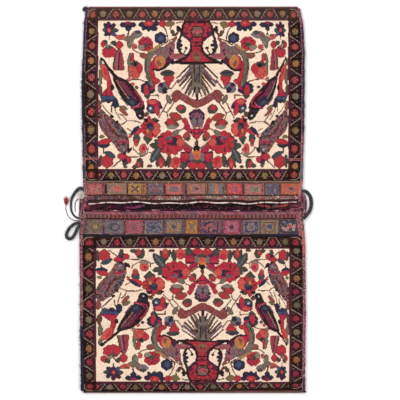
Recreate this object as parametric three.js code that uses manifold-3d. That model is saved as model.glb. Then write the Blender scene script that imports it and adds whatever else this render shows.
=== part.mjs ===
// A pile-faced double saddle bag, empty and lying flat. One long woven strip runs from the mouth of the
// first pouch, over its pile face, round the end fold and along the plain back, across the bridge between
// the pouches, and the same way back to the mouth of the second pouch. Overcast wool seams close the sides.
// Units are millimetres. X runs across the bag, Y along it and Z up. The floor is Z = 0.
import * as THREE from 'three';
import { mergeVertices } from 'three/addons/utils/BufferGeometryUtils.js';
import Module from 'manifold-3d';

const wasm = await Module();
wasm.setup();

// Driving dimensions of the weave
const BACK_THICKNESS = 3;
const FLATWEAVE_THICKNESS = 3.5;
const PILE_THICKNESS = 7;
const POCKET_GAP = 9;
const SEAM_GAP = 0.6;
const SEAM_WIDTH = 11;
const CLEARANCE = 0.3;
const SIDE_RAMP = 0.16;
const END_RAMP = 90;
const PILE_SETBACK = 4;

// Where things lie along the bag, measured from its middle
const UPPER = { end: 520, pile: 51, lip: -5.5, sign: 1 };
const LOWER = { end: -520, pile: -98, lip: -31, sign: -1 };
const SLIT_BAND = { top: 42, bottom: 16 };

// The outer edges of the bag in plan, each as [y, x] from the upper end to the lower
const LEFT_EDGE = [
  [520, -288], [480, -294], [314, -300], [48, -297], [26, -293.5], [-12, -293.5],
  [-30, -296], [-60, -302.5], [-85, -306], [-300, -305], [-520, -302],
];
const RIGHT_EDGE = [
  [520, 288], [470, 297], [400, 301], [200, 300], [48, 296], [22, 292], [-12, 292],
  [-30, 292], [-60, 298], [-130, 303], [-300, 304], [-520, 302],
];

// The slits woven into the upper band, as [x, width], which the closing loops pass through
const SLITS = [
  [-235, 4.2], [-176, 1.4], [-132, 1.4], [-77, 1.4], [-20, 1.4],
  [33, 1.4], [81, 1.4], [135, 1.4], [186, 1.4], [233, 1.4],
];

const WOOL = { roughness: 0.95, metalness: 0 };
const pileWool = new THREE.MeshStandardMaterial({ color: '#8f4a44', ...WOOL });
const seamWool = new THREE.MeshStandardMaterial({ color: '#84515f', ...WOOL });
const goatHair = new THREE.MeshStandardMaterial({ color: '#3a3638', ...WOOL });
const wineWool = new THREE.MeshStandardMaterial({ color: '#6e3a44', ...WOOL });
const redWool = new THREE.MeshStandardMaterial({ color: '#b3303c', ...WOOL });
const creamWool = new THREE.MeshStandardMaterial({ color: '#e6dcc8', ...WOOL });

const bag = new THREE.Group();

function add(name, geometry, material) {
  const mesh = new THREE.Mesh(geometry, material);
  mesh.name = name;
  bag.add(mesh);
}

const ease = (t) => t * t * (3 - 2 * t);
const clamp = (t) => Math.min(Math.max(t, 0), 1);

// The x of an edge at a given y.
function edgeAt(edge, y) {
  const next = edge.findIndex((point) => point[0] <= y);
  if (next <= 0) {
    return next === 0 ? edge[0][1] : edge.at(-1)[1];
  }
  const [y0, x0] = edge[next - 1];
  const [y1, x1] = edge[next];
  return x0 + ((x1 - x0) * (y - y0)) / (y1 - y0);
}

// Every y at which either edge turns, from the upper end to the lower.
const TURNS = [...new Set([...LEFT_EDGE, ...RIGHT_EDGE].map((point) => point[0]))].sort((a, b) => b - a);

// A run of y from one place to another, with every turn of the edges on the way.
function run(from, to) {
  const way = TURNS.filter((y) => (y - from) * (y - to) < 0);
  return [from, ...(from > to ? way : way.reverse()), to];
}

// A closed skin over rings of equal length, with a flat cap on the first and last ring.
function skin(rings, capOutline) {
  const size = rings[0].length;
  const positions = rings.flat(2);
  const faces = [];
  for (let r = 0; r + 1 < rings.length; r += 1) {
    for (let i = 0; i < size; i += 1) {
      const j = (i + 1) % size;
      const a = r * size + i;
      const b = r * size + j;
      faces.push(a, b, b + size, a, b + size, a + size);
    }
  }
  const last = (rings.length - 1) * size;
  const [near, far] = THREE.ShapeUtils.isClockWise(capOutline) ? [0, last] : [last, 0];
  for (const [a, b, c] of THREE.ShapeUtils.triangulateShape(capOutline, [])) {
    faces.push(near + a, near + b, near + c, far + a, far + c, far + b);
  }
  const geometry = new THREE.BufferGeometry();
  geometry.setAttribute('position', new THREE.Float32BufferAttribute(positions, 3));
  geometry.setIndex(faces);
  return facingOut(geometry);
}

// Turns every face of a closed mesh round if its signed volume is negative.
function facingOut(geometry) {
  const at = geometry.attributes.position;
  const index = geometry.index.array;
  const [a, b, c] = [new THREE.Vector3(), new THREE.Vector3(), new THREE.Vector3()];
  let volume = 0;
  for (let i = 0; i < index.length; i += 3) {
    a.fromBufferAttribute(at, index[i]);
    b.fromBufferAttribute(at, index[i + 1]);
    c.fromBufferAttribute(at, index[i + 2]);
    volume += a.dot(b.cross(c));
  }
  if (volume < 0) {
    for (let i = 0; i < index.length; i += 3) {
      [index[i], index[i + 1]] = [index[i + 1], index[i]];
    }
  }
  return geometry;
}

function solidOf(geometry) {
  const bare = geometry.clone();
  bare.deleteAttribute('normal');
  bare.deleteAttribute('uv');
  const merged = mergeVertices(bare, 1e-4);
  const vertProperties = new Float32Array(merged.attributes.position.array);
  const triVerts = new Uint32Array(merged.index.array);
  return new wasm.Manifold(new wasm.Mesh({ numProp: 3, vertProperties, triVerts }));
}

function geometryOf(solid) {
  const mesh = solid.getMesh();
  const geometry = new THREE.BufferGeometry();
  geometry.setAttribute('position', new THREE.BufferAttribute(mesh.vertProperties, 3));
  geometry.setIndex(new THREE.BufferAttribute(mesh.triVerts, 1));
  return geometry;
}

// How far the pocket stands open at a place, from 0 at the seams and the end fold to 1.
function crown(across, fromEnd) {
  return ease(clamp((1 - Math.abs(across)) / SIDE_RAMP)) * ease(clamp(fromEnd / END_RAMP));
}

// The ribs of one pouch from its lip to the far side of its end fold. Each rib crosses the strip, and holds
// the [y, z] of its outward and its inward face at a place across the bag.
function pouchRibs({ end, pile, lip, sign }) {
  const under = (y, across) => {
    const open = crown(across, (end - y) * sign - PILE_SETBACK);
    return BACK_THICKNESS + SEAM_GAP + (POCKET_GAP - SEAM_GAP) * open;
  };
  const frontRib = (y, thickness) => (across) => {
    const z = under(y, across);
    return { outward: [y, z + thickness], inward: [y, z] };
  };
  const foldRib = (angle) => () => {
    const turn = THREE.MathUtils.degToRad(angle);
    const radius = (BACK_THICKNESS + SEAM_GAP + FLATWEAVE_THICKNESS) / 2;
    const reach = radius * (1 - Math.cos(turn));
    const inner = SEAM_GAP / 2;
    return {
      outward: [end - sign * reach, radius * (1 + Math.sin(turn))],
      inward: [end - sign * (radius - inner * Math.cos(turn)), BACK_THICKNESS + inner * (1 + Math.sin(turn))],
    };
  };
  const pileStart = end - sign * (PILE_SETBACK + 2);
  const ramp = [22, 48, PILE_SETBACK + END_RAMP].map((along) => end - sign * along);
  const pileRun = [...run(pile, pileStart), ...ramp].sort((a, b) => (a - b) * sign);
  return [
    frontRib(lip, FLATWEAVE_THICKNESS * 0.6),
    ...run(lip + sign, pile - sign).map((y) => frontRib(y, FLATWEAVE_THICKNESS)),
    ...pileRun.map((y) => frontRib(y, PILE_THICKNESS)),
    ...[90, 60, 30, 0, -30, -60, -90].map(foldRib),
  ];
}

// The whole strip, rib by rib, from the upper lip round both folds to the lower lip.
function wovenStrip() {
  const insideFold = PILE_SETBACK + 2;
  const back = run(UPPER.end - insideFold, LOWER.end + insideFold)
    .map((y) => () => ({ outward: [y, 0], inward: [y, BACK_THICKNESS] }));
  const ribs = [...pouchRibs(UPPER), ...back, ...pouchRibs(LOWER).reverse()];
  const stations = [-1, -0.96, -0.92, -0.84, 0, 0.84, 0.92, 0.96, 1];
  const inset = SEAM_WIDTH + CLEARANCE;
  const place = (across, [y, z]) => {
    const left = edgeAt(LEFT_EDGE, y) + inset;
    const right = edgeAt(RIGHT_EDGE, y) - inset;
    return [(left + right) / 2 + (across * (right - left)) / 2, y, z];
  };
  const rings = ribs.map((rib) => [
    ...stations.map((across) => place(across, rib(across).outward)),
    ...stations.toReversed().map((across) => place(across, rib(across).inward)),
  ]);
  const capOutline = rings[0].map(([x, y, z]) => new THREE.Vector2(x, z));
  const strip = solidOf(skin(rings, capOutline));
  const slitLength = SLIT_BAND.top - SLIT_BAND.bottom;
  const slitDepth = 12;
  return geometryOf(SLITS.reduce((cloth, [x, width]) => {
    const slit = new THREE.BoxGeometry(width, slitLength, slitDepth);
    const height = BACK_THICKNESS + POCKET_GAP - 3 + slitDepth / 2;
    slit.translate(x, (SLIT_BAND.top + SLIT_BAND.bottom) / 2, height);
    return cloth.subtract(solidOf(slit));
  }, strip));
}

// An overcast seam along one side of a pouch: a rounded band of wool outside both layers.
function sideSeam(edge, side, from, to) {
  const height = BACK_THICKNESS + SEAM_GAP + PILE_THICKNESS;
  const section = [
    [0, 0.5], [0, height - 1], [1, height], [SEAM_WIDTH - 4, height],
    [SEAM_WIDTH, height * 0.65], [SEAM_WIDTH, height * 0.3], [SEAM_WIDTH - 3, 0], [1, 0],
  ];
  const rings = run(from, to).map((y) => {
    const outer = edgeAt(edge, y);
    return section.map(([out, z]) => [outer - side * (SEAM_WIDTH - out), y, z]);
  });
  return skin(rings, section.map(([out, z]) => new THREE.Vector2(out, z)));
}

// A round cord along points, with flat ends square to its path.
function cord(points, diameter, sides, steps) {
  const path = new THREE.CatmullRomCurve3(points.map((point) => new THREE.Vector3(...point)));
  const circle = new THREE.Shape();
  for (let i = 0; i < sides; i += 1) {
    const turn = (2 * Math.PI * i) / sides;
    const corner = [(diameter / 2) * Math.cos(turn), (diameter / 2) * Math.sin(turn)];
    if (i === 0) {
      circle.moveTo(...corner);
    } else {
      circle.lineTo(...corner);
    }
  }
  return new THREE.ExtrudeGeometry(circle, { steps, extrudePath: path });
}

// A lip cord, whipped along the whole width of a pouch's mouth with a slight wave.
function lipCord(y, height, diameter, wave) {
  const margin = SEAM_WIDTH + CLEARANCE + 1;
  const left = edgeAt(LEFT_EDGE, y) + margin;
  const right = edgeAt(RIGHT_EDGE, y) - margin;
  const points = [];
  const bays = 24;
  for (let i = 0; i <= bays; i += 1) {
    const across = (2 * i) / bays - 1;
    const open = ease(clamp((1 - Math.abs(across)) / SIDE_RAMP));
    points.push([
      left + ((right - left) * i) / bays,
      y + wave * Math.sin(i * 2.1),
      height + (POCKET_GAP - SEAM_GAP) * open,
    ]);
  }
  return cord(points, diameter, 8, 60);
}

// A tuft or knot: a ball drawn out along its own x.
function tuft(length, width, height, turn, place) {
  const geometry = new THREE.SphereGeometry(0.5, 10, 8);
  geometry.scale(length, width, height);
  geometry.rotateZ(THREE.MathUtils.degToRad(turn));
  geometry.translate(...place);
  return geometry;
}

add('woven_strip', wovenStrip(), pileWool);

add('upper_left_seam', sideSeam(LEFT_EDGE, -1, 514, -6), seamWool);
add('upper_right_seam', sideSeam(RIGHT_EDGE, 1, 514, -6), seamWool);
add('lower_left_seam', sideSeam(LEFT_EDGE, -1, -31, -514), seamWool);
add('lower_right_seam', sideSeam(RIGHT_EDGE, 1, -31, -514), seamWool);

// The bridge's own edges, overcast and bulging out past the ends of the pouch seams
const BRIDGE_EDGE_DIAMETER = 6;
add('bridge_left_edge', cord([
  [-297, 14, 3.1], [-299, 6, 3.1], [-301.5, -6, 3.1], [-302.5, -20, 3.1], [-303.5, -32, 3.1], [-305, -42, 3.1],
], BRIDGE_EDGE_DIAMETER, 8, 16), seamWool);
add('bridge_right_edge', cord([
  [296, 16, 3.1], [299.5, 8, 3.1], [302, -3, 3.1], [303, -13, 3.1], [301.5, -25, 3.1], [299, -36, 3.1],
], BRIDGE_EDGE_DIAMETER, 8, 16), seamWool);

// White wool cords whipped along the two lips
const LIP_HEIGHT = BACK_THICKNESS + SEAM_GAP + FLATWEAVE_THICKNESS / 2;
add('upper_lip_cord', lipCord(-9.2, LIP_HEIGHT, 4.6, 0.6), creamWool);
add('lower_lip_cord', lipCord(-28.2, LIP_HEIGHT, 3.4, 0.4), creamWool);

// The closing cords: a plaited goat-hair cord that thins as it comes back to the bag
add('left_plaited_cord', cord([
  [-296.8, 29.5, 7], [-301, 31, 6], [-306, 30.5, 4.2], [-313, 24.8, 3.4], [-320, 16, 3.3],
  [-325, 7, 3.3], [-327.8, -3, 3.3], [-328.6, -12, 3.3], [-328.6, -22, 3.3], [-326.6, -32, 3.3],
  [-322, -40.5, 3.3], [-315.5, -46.5, 3.3], [-309, -49, 3.6], [-303.2, -50.2, 4.6],
], 6.4, 10, 40), goatHair);

add('wine_cord', cord([
  [-304.6, -56.2, 2.4], [-308, -56.2, 1.4], [-314, -55.9, 1.2], [-321.5, -54.9, 1.2], [-330, -50.5, 1.2],
  [-336.8, -42.5, 1.2], [-341, -32, 1.2], [-342.8, -21, 1.2], [-341.9, -12, 1.4],
], 2.3, 8, 36), wineWool);

add('wine_cord_tassel', tuft(15, 11, 7, 86, [-341.6, -3.9, 3.6]), redWool);

add('inner_cord', cord([
  [-296.4, -2, 7.6], [-301, 1, 8], [-306, 3.2, 6.2], [-311, 1.5, 3.2], [-315.4, -4, 1.5],
  [-317.6, -12, 1.3], [-317.8, -22, 1.3], [-316.6, -31, 1.3],
], 2.5, 8, 30), wineWool);

// The goat-hair loop at the left and the goat-hair bow at the right
add('left_hair_loop', cord([
  [-305.6, -62, 6], [-311, -62.4, 4.8], [-319.5, -65, 4.1], [-330, -73.5, 4.1], [-337.5, -84, 4.1],
  [-341, -94, 4.1], [-339, -102, 4.1], [-331.5, -105, 4.1], [-323.5, -100.5, 4.1], [-316.5, -88, 4.1],
  [-312, -77.5, 4.8], [-308.4, -73, 5.6],
], 8, 10, 30), goatHair);

add('right_hair_bow', cord([
  [297.2, 23.5, 8.4], [302, 22.8, 7.4], [307.5, 19.8, 5.2], [312.8, 13.6, 4.4], [317, 4, 4.3], [318.4, -9, 4.3],
  [317.2, -21, 4.3], [313, -32, 4.3], [306.5, -41, 4.6], [300.2, -47.2, 6],
], 8.4, 10, 24), goatHair);

add('cream_wool_tuft', tuft(13, 6, 5, 35, [-301.6, 16.8, 4.2]), creamWool);
add('top_left_tuft', tuft(15, 9, 7, 122, [-295.6, 518.2, 3.6]), goatHair);
add('bottom_right_knot', tuft(10, 8, 7, -40, [303.6, -520.6, 3.6]), goatHair);

export default bag;
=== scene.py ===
"""A pile-faced double saddle bag, empty and lying flat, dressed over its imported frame.

Lengths are in millimetres and become metres where a mesh is made. X runs across the bag, Y along it, Z up.
"""
import math

import bpy
import numpy as np
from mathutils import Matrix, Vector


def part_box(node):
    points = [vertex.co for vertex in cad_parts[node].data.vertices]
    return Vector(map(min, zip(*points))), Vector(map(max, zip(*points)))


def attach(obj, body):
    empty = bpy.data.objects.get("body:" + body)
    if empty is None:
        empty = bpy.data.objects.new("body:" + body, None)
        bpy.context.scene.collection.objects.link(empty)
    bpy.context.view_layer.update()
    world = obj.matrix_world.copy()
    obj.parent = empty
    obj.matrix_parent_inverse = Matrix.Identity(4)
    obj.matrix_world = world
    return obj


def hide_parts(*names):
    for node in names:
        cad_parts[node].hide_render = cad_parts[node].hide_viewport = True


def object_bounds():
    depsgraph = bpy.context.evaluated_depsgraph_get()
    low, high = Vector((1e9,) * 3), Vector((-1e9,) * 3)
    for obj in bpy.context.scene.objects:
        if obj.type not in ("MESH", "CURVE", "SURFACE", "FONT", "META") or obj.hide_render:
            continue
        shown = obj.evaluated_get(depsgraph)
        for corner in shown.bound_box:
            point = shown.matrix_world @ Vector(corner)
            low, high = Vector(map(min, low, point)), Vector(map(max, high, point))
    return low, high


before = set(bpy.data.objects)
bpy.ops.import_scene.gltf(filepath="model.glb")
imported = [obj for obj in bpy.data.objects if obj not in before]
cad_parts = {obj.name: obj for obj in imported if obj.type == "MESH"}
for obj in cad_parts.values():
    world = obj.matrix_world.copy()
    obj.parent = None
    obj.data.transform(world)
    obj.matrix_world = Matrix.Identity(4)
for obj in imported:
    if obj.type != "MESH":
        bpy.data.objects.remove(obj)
cad_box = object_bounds()
MM = 0.001
ROOT = "root"


# ---------------------------------------------------------------- colours

def linear(code):
    """A colour written as six hex digits, as linear red, green and blue."""
    values = np.array([int(code[i:i + 2], 16) for i in (0, 2, 4)]) / 255
    return np.where(values <= 0.04045, values / 12.92, ((values + 0.055) / 1.055) ** 2.4)


def wools(codes):
    """Several colours, written with spaces between them."""
    return [linear(code) for code in codes.split()]


IVORY = linear("F2D6BF")
CREAM = linear("E2D4C2")
RED = linear("B42F3A")
CRIMSON = linear("A32142")
CORAL = linear("C8544C")
SALMON = linear("B87066")
ORANGE = linear("CC7438")
GOLD = linear("A8844A")
OLIVE = linear("766A46")
TAN = linear("A08672")
BROWN = linear("5C4238")
RUST = linear("8A4A3E")
BRICK = linear("8A3A3E")
MAROON = linear("48202A")
WINE = linear("3E1628")
PLUM = linear("46223C")
MAUVE = linear("765A6C")
ROSE = linear("A25C68")
PINK = linear("B85C7A")
BLACK = linear("1E191C")
SOOT = linear("2A2426")
NAVY = linear("252A40")
BLUE = linear("344C6C")
SKY = linear("B4C0D0")
STEEL = linear("6C6C72")
TEAL = linear("38484C")
LEAF = linear("6C6858")
FOREST = linear("40433A")
SAGE = linear("888070")
GREY = linear("766C70")


# ---------------------------------------------------------------- camera, floor and light

VIEW_CENTRE = (0.0188, -0.0005)
VIEW_WIDTH = 1.076
VIEW_DISTANCE = 6.0
SENSOR_WIDTH = 36.0
SKY_STRENGTH = 0.62
# The place, side and power of each lamp
LAMPS = {"key_light": ((-1.6, 1.9, 3.0), 2.2, 75), "fill_light": ((1.9, -1.5, 2.8), 2.6, 38)}
FLOOR_HALF = 6.0
FLOOR_WHITE = (0.96, 0.96, 0.96, 1.0)


def add_object(name, data):
    """A new object in the scene."""
    added = bpy.data.objects.new(name, data)
    bpy.context.scene.collection.objects.link(added)
    return added


def set_inputs(node, **values):
    """Set a shader node's inputs by name, with _ for each space."""
    for name, value in values.items():
        node.inputs[name.replace("_", " ")].default_value = value
    return node


def add_camera():
    data = bpy.data.cameras.new("camera")
    data.sensor_width = SENSOR_WIDTH
    data.lens = SENSOR_WIDTH * VIEW_DISTANCE / VIEW_WIDTH
    camera = add_object("camera", data)
    camera.location = (*VIEW_CENTRE, VIEW_DISTANCE + cad_box[1].z / 2)
    bpy.context.scene.camera = camera


def add_area_light(name, place, size, power):
    data = bpy.data.lights.new(name, "AREA")
    data.shape = "SQUARE"
    data.size = size
    data.energy = power
    lamp = add_object(name, data)
    lamp.location = place
    lamp.rotation_mode = "QUATERNION"
    lamp.rotation_quaternion = (-lamp.location).to_track_quat("-Z", "Y")
    lamp.visible_camera = False


def add_studio():
    world = bpy.data.worlds.new("studio")
    bpy.context.scene.world = world
    world.use_nodes = True
    set_inputs(world.node_tree.nodes["Background"], Color=(1.0, 1.0, 1.0, 1.0), Strength=SKY_STRENGTH)
    for name, lamp in LAMPS.items():
        add_area_light(name, *lamp)
    bpy.context.scene.view_settings.view_transform = "Standard"

    corners = [(u * FLOOR_HALF, v * FLOOR_HALF, 0) for u, v in ((-1, -1), (1, -1), (1, 1), (-1, 1))]
    mesh = bpy.data.meshes.new("floor")
    mesh.from_pydata(corners, [], [(0, 1, 2, 3)])
    material = bpy.data.materials.new("pale_floor")
    material.use_nodes = True
    set_inputs(material.node_tree.nodes["Principled BSDF"], Base_Color=FLOOR_WHITE, Roughness=0.9)
    mesh.materials.append(material)
    floor = add_object("floor", mesh)


# ---------------------------------------------------------------- materials

def wool_material(name, relief, relief_scale, depth, sheen, grain=700.0, spread=0.22, shine=0.18):
    """Wool that takes its colour from the faces' own paint, with the relief of its weave as bump."""
    material = bpy.data.materials.new(name)
    material.use_nodes = True
    nodes = material.node_tree.nodes
    link = material.node_tree.links.new
    shader = nodes["Principled BSDF"]
    set_inputs(shader, Roughness=0.92, Specular_IOR_Level=shine, Sheen_Weight=sheen, Sheen_Roughness=0.45)

    place = nodes.new("ShaderNodeTexCoord")
    paint = nodes.new("ShaderNodeAttribute")
    paint.attribute_name = "wool"
    fibre = set_inputs(nodes.new("ShaderNodeTexNoise"), Scale=grain, Detail=3.0)
    link(place.outputs["Object"], fibre.inputs["Vector"])
    shade = nodes.new("ShaderNodeMapRange")
    set_inputs(shade, From_Min=0.25, From_Max=0.75, To_Min=1.0 - spread, To_Max=1.0 + spread)
    link(fibre.outputs["Fac"], shade.inputs["Value"])
    tint = nodes.new("ShaderNodeVectorMath")
    tint.operation = "SCALE"
    link(paint.outputs["Color"], tint.inputs[0])
    link(shade.outputs["Result"], tint.inputs["Scale"])
    link(tint.outputs["Vector"], shader.inputs["Base Color"])

    if relief == "knots":
        pattern = nodes.new("ShaderNodeTexVoronoi")
        height = pattern.outputs["Distance"]
    else:
        pattern = nodes.new("ShaderNodeTexWave")
        pattern.bands_direction = relief
        set_inputs(pattern, Distortion=1.6, Detail=2.0)
        height = pattern.outputs["Fac"]
    set_inputs(pattern, Scale=relief_scale)
    link(place.outputs["Object"], pattern.inputs["Vector"])
    rough = nodes.new("ShaderNodeMath")
    rough.operation = "ADD"
    link(height, rough.inputs[0])
    link(fibre.outputs["Fac"], rough.inputs[1])
    bump = set_inputs(nodes.new("ShaderNodeBump"), Strength=0.7, Distance=depth)
    link(rough.outputs["Value"], bump.inputs["Height"])
    link(bump.outputs["Normal"], shader.inputs["Normal"])
    return material


PILE = wool_material("pile", "knots", 470.0, 0.0012, 0.03, shine=0.08)
FLATWEAVE = wool_material("flatweave", "Y", 180.0, 0.0008, 0.04, shine=0.1)
YARN = wool_material("yarn", "DIAGONAL", 260.0, 0.0004, 0.1, grain=1100.0)
HAIR = wool_material("goat_hair", "DIAGONAL", 420.0, 0.0004, 0.3, grain=1600.0, spread=0.35)


# ---------------------------------------------------------------- meshes

def new_piece(name, points, groups, material, slot, replaced):
    """A piece from points in millimetres and groups of (faces, one colour a face)."""
    sizes = np.concatenate([np.full(len(faces), faces.shape[1]) for faces, _ in groups])
    corners = np.concatenate([faces.ravel() for faces, _ in groups])
    paint = np.concatenate([np.repeat(tint, faces.shape[1], axis=0) for faces, tint in groups])
    used, corners = np.unique(corners, return_inverse=True)
    points = np.asarray(points, float)[used]
    points[:, 2] = np.maximum(points[:, 2], 0)
    mesh = bpy.data.meshes.new(name)
    mesh.vertices.add(len(points))
    mesh.vertices.foreach_set("co", (points * MM).astype(np.float32).ravel())
    mesh.loops.add(len(corners))
    mesh.loops.foreach_set("vertex_index", corners.astype(np.int32).ravel())
    mesh.polygons.add(len(sizes))
    mesh.polygons.foreach_set("loop_start", (np.cumsum(sizes) - sizes).astype(np.int32))
    mesh.polygons.foreach_set("use_smooth", np.ones(len(sizes), bool))
    mesh.update(calc_edges=True)
    mesh.validate()
    layer = mesh.color_attributes.new("wool", "FLOAT_COLOR", "CORNER")
    rgba = np.ones((len(paint), 4), np.float32)
    rgba[:, :3] = np.clip(paint, 0, 1)
    layer.data.foreach_set("color", rgba.ravel())
    mesh.materials.append(material)
    piece = add_object(name, mesh)
    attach(piece, ROOT)
    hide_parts(*replaced)
    return piece


# The solid that every sheet stands for, and how much painted shade darkens a sheet's cut edges
WOVEN = ["woven_strip"]
PAINTED_CUT_SHADE = 0.6


def grid_index(rows, cols):
    return np.arange(rows * cols).reshape(rows, cols)


def cell_faces(index):
    """The four corners of every cell of a grid of point numbers, anticlockwise from above."""
    return np.stack([index[:-1, :-1], index[:-1, 1:], index[1:, 1:], index[1:, :-1]], -1).reshape(-1, 4)


def rim(index):
    """The point numbers round the edge of a grid, once round."""
    return np.concatenate([index[0, :-1], index[:-1, -1], index[-1, :0:-1], index[:0:-1, 0]])


def pile_sheet(name, top, under, step, tint):
    """A closed sheet whose underside has one point for every few of the upper side's."""
    rows, cols = top.shape[:2]
    low_rows, low_cols = under.shape[:2]
    upper = grid_index(rows, cols)
    lower = grid_index(low_rows, low_cols) + rows * cols
    fine, coarse = rim(upper), rim(lower)
    walls = []
    for k in range(len(coarse)):
        here, after = coarse[k], coarse[(k + 1) % len(coarse)]
        for j in range(step):
            a = fine[(k * step + j) % len(fine)]
            b = fine[(k * step + j + 1) % len(fine)]
            walls.append((here, b, a))
        walls.append((here, after, fine[((k + 1) * step) % len(fine)]))
    walls = np.array(walls)
    below = cell_faces(lower)[:, ::-1]
    groups = [
        (cell_faces(upper), tint.reshape(-1, 3)),
        (below, np.tile(BROWN, (len(below), 1))),
        (walls, np.tile(BROWN, (len(walls), 1))),
    ]
    points = np.concatenate([top.reshape(-1, 3), under.reshape(-1, 3)])
    return new_piece(name, points, groups, PILE, "pile_wool", WOVEN)


def slit_sheet(name, top, under, keep, tint, under_tint):
    """A closed flatwoven sheet between two equal grids, with real openings wherever keep is false."""
    rows, cols = top.shape[:2]
    upper = grid_index(rows, cols)
    lower = upper + rows * cols
    solid = np.pad(keep, 1)
    cells = keep.ravel()
    below = np.broadcast_to(under_tint, tint.shape)
    groups = [(cell_faces(upper)[cells], tint[keep]), (cell_faces(lower)[cells][:, ::-1], below[keep])]
    # each side of a cell: the neighbour beyond it, and the two corners that the side runs between
    sides = [
        (solid[:-2, 1:-1], upper[:-1, :-1], upper[:-1, 1:]),
        (solid[2:, 1:-1], upper[1:, 1:], upper[1:, :-1]),
        (solid[1:-1, :-2], upper[1:, :-1], upper[:-1, :-1]),
        (solid[1:-1, 2:], upper[:-1, 1:], upper[1:, 1:]),
    ]
    for beyond, start, end in sides:
        open_side = keep & ~beyond
        a, b = start[open_side], end[open_side]
        # the sides of openings and the sheet's edges get painted shade, darker than its face
        groups.append((np.stack([b, a, a + rows * cols, b + rows * cols], -1), tint[open_side] * PAINTED_CUT_SHADE))
    points = np.concatenate([top.reshape(-1, 3), under.reshape(-1, 3)])
    return new_piece(name, points, groups, FLATWEAVE, "flatweave_wool", WOVEN)


def path_frame(path):
    """The directions across and up at each point of a path."""
    along = np.gradient(path, axis=0)
    along /= np.linalg.norm(along, axis=1, keepdims=True)
    across = np.cross(along, (0.0, 0.0, 1.0))
    across /= np.maximum(np.linalg.norm(across, axis=1, keepdims=True), 1e-9)
    return across, np.cross(across, along)


def tube_parts(path, sections, tint, first=0):
    """A closed tube: path points, a ring of offsets (across, up) for each, and a colour for each step."""
    path = np.asarray(path, float)
    count, sides = sections.shape[:2]
    across, up = path_frame(path)
    rings = path[:, None] + sections[..., :1] * across[:, None] + sections[..., 1:] * up[:, None]
    index = grid_index(count, sides)
    index = np.concatenate([index, index[:, :1]], 1)
    quads = cell_faces(index)[:, ::-1] + first
    middles = np.stack([rings[0].mean(0), rings[-1].mean(0)])
    near, far = count * sides + first, count * sides + 1 + first
    start = index[0] + first
    end = index[-1] + first
    caps = [(near, start[j], start[j + 1]) for j in range(sides)]
    caps += [(far, end[j + 1], end[j]) for j in range(sides)]
    points = np.concatenate([rings.reshape(-1, 3), middles])
    tint = np.asarray(tint)
    if tint.ndim == 2:
        tint = np.repeat(tint[:count - 1, None], sides, axis=1)
    step_tint = tint[:count - 1].reshape(-1, 3)
    cap_tint = np.concatenate([tint[0], tint[-1]])
    return points, [(quads, step_tint), (np.array(caps), cap_tint)]


def ring_sections(count, sides, half_width, half_height):
    """Round sections for a tube, as an array (count, sides, 2); the halves may change along it."""
    turn = np.linspace(0, 2 * math.pi, sides, endpoint=False)
    wide = np.broadcast_to(half_width, (count,))[:, None] * np.cos(turn)
    high = np.broadcast_to(half_height, (count,))[:, None] * np.sin(turn)
    return np.stack([wide, high], -1)


def smooth_path(points, spacing):
    """A smooth curve through points, resampled at an even spacing."""
    p = np.asarray(points, float)
    ends = np.concatenate([[2 * p[0] - p[1]], p, [2 * p[-1] - p[-2]]])
    t = np.linspace(0, 1, 12, endpoint=False)[:, None]
    runs = []
    for a, b, c, d in zip(ends, ends[1:], ends[2:], ends[3:]):
        runs.append(0.5 * (2 * b + (c - a) * t + (2 * a - 5 * b + 4 * c - d) * t**2
                           + (3 * b - a - 3 * c + d) * t**3))
    curve = np.concatenate([*runs, p[-1:]])
    length = np.concatenate([[0], np.cumsum(np.linalg.norm(np.diff(curve, axis=0), axis=1))])
    even = np.linspace(0, length[-1], max(4, round(length[-1] / spacing) + 1))
    return np.stack([np.interp(even, length, curve[:, k]) for k in range(3)], -1), length[-1]


def merge_parts(parts):
    """Several (points, groups) as one."""
    points = np.concatenate([p for p, _ in parts])
    return points, [group for _, groups in parts for group in groups]


# ---------------------------------------------------------------- the bag's outline and height

SEAM_WIDTH = 8.8
STRIP_INSET = 7.4
BACK_THICKNESS = 3.0
SEAM_GAP = 0.6
POCKET_GAP = 9.0
PILE_THICKNESS = 7.0
FLATWEAVE_THICKNESS = 3.5
SIDE_RAMP = 0.16
END_RAMP = 90.0
# The width that the cells of the woven sheets are counted over
CELLS_WIDTH = 576.0


def edge_line(side, *nodes):
    """The outer edge of seam nodes, as rising y and the x there."""
    co = np.array([v.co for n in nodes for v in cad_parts[n].data.vertices]) / MM
    ys = np.unique(co[:, 1].round(1))
    xs = [side * (side * co[np.abs(co[:, 1] - y) < 0.1, 0]).max() for y in ys]
    return ys, np.array(xs)


LEFT = edge_line(-1, "lower_left_seam", "upper_left_seam")
RIGHT = edge_line(1, "lower_right_seam", "upper_right_seam")


def left_x(y):
    return np.interp(y, *LEFT)


def right_x(y):
    return np.interp(y, *RIGHT)


def place_x(across, y, inset=STRIP_INSET):
    """x at a place from -1 to 1 across the cloth."""
    left, right = left_x(y) + inset, right_x(y) - inset
    return (left + right) / 2 + across * (right - left) / 2


def sheet_grid(y_line, cols):
    """The place across, from -1 to 1, and the y of every point of a sheet."""
    across = np.tile(np.linspace(-1, 1, cols), (len(y_line), 1))
    return across, np.repeat(y_line[:, None], cols, axis=1)


def middles(values):
    """The values at the middles of a grid's cells."""
    return (values[:-1, :-1] + values[1:, 1:]) / 2


def ease(t):
    t = np.clip(t, 0, 1)
    return t * t * (3 - 2 * t)


def slow_noise(x, y, size, seed):
    """Smooth noise from -1 to 1 with waves of about this size, made of a few crossed sines."""
    rng = np.random.default_rng(seed)
    total = np.zeros(np.broadcast(x, y).shape)
    for _ in range(6):
        heading, phase = rng.uniform(0, 2 * math.pi, 2)
        wave = 2 * math.pi / (size * rng.uniform(0.7, 1.6))
        total += np.sin(wave * (x * math.cos(heading) + y * math.sin(heading)) + phase)
    return total / 3.2


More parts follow.
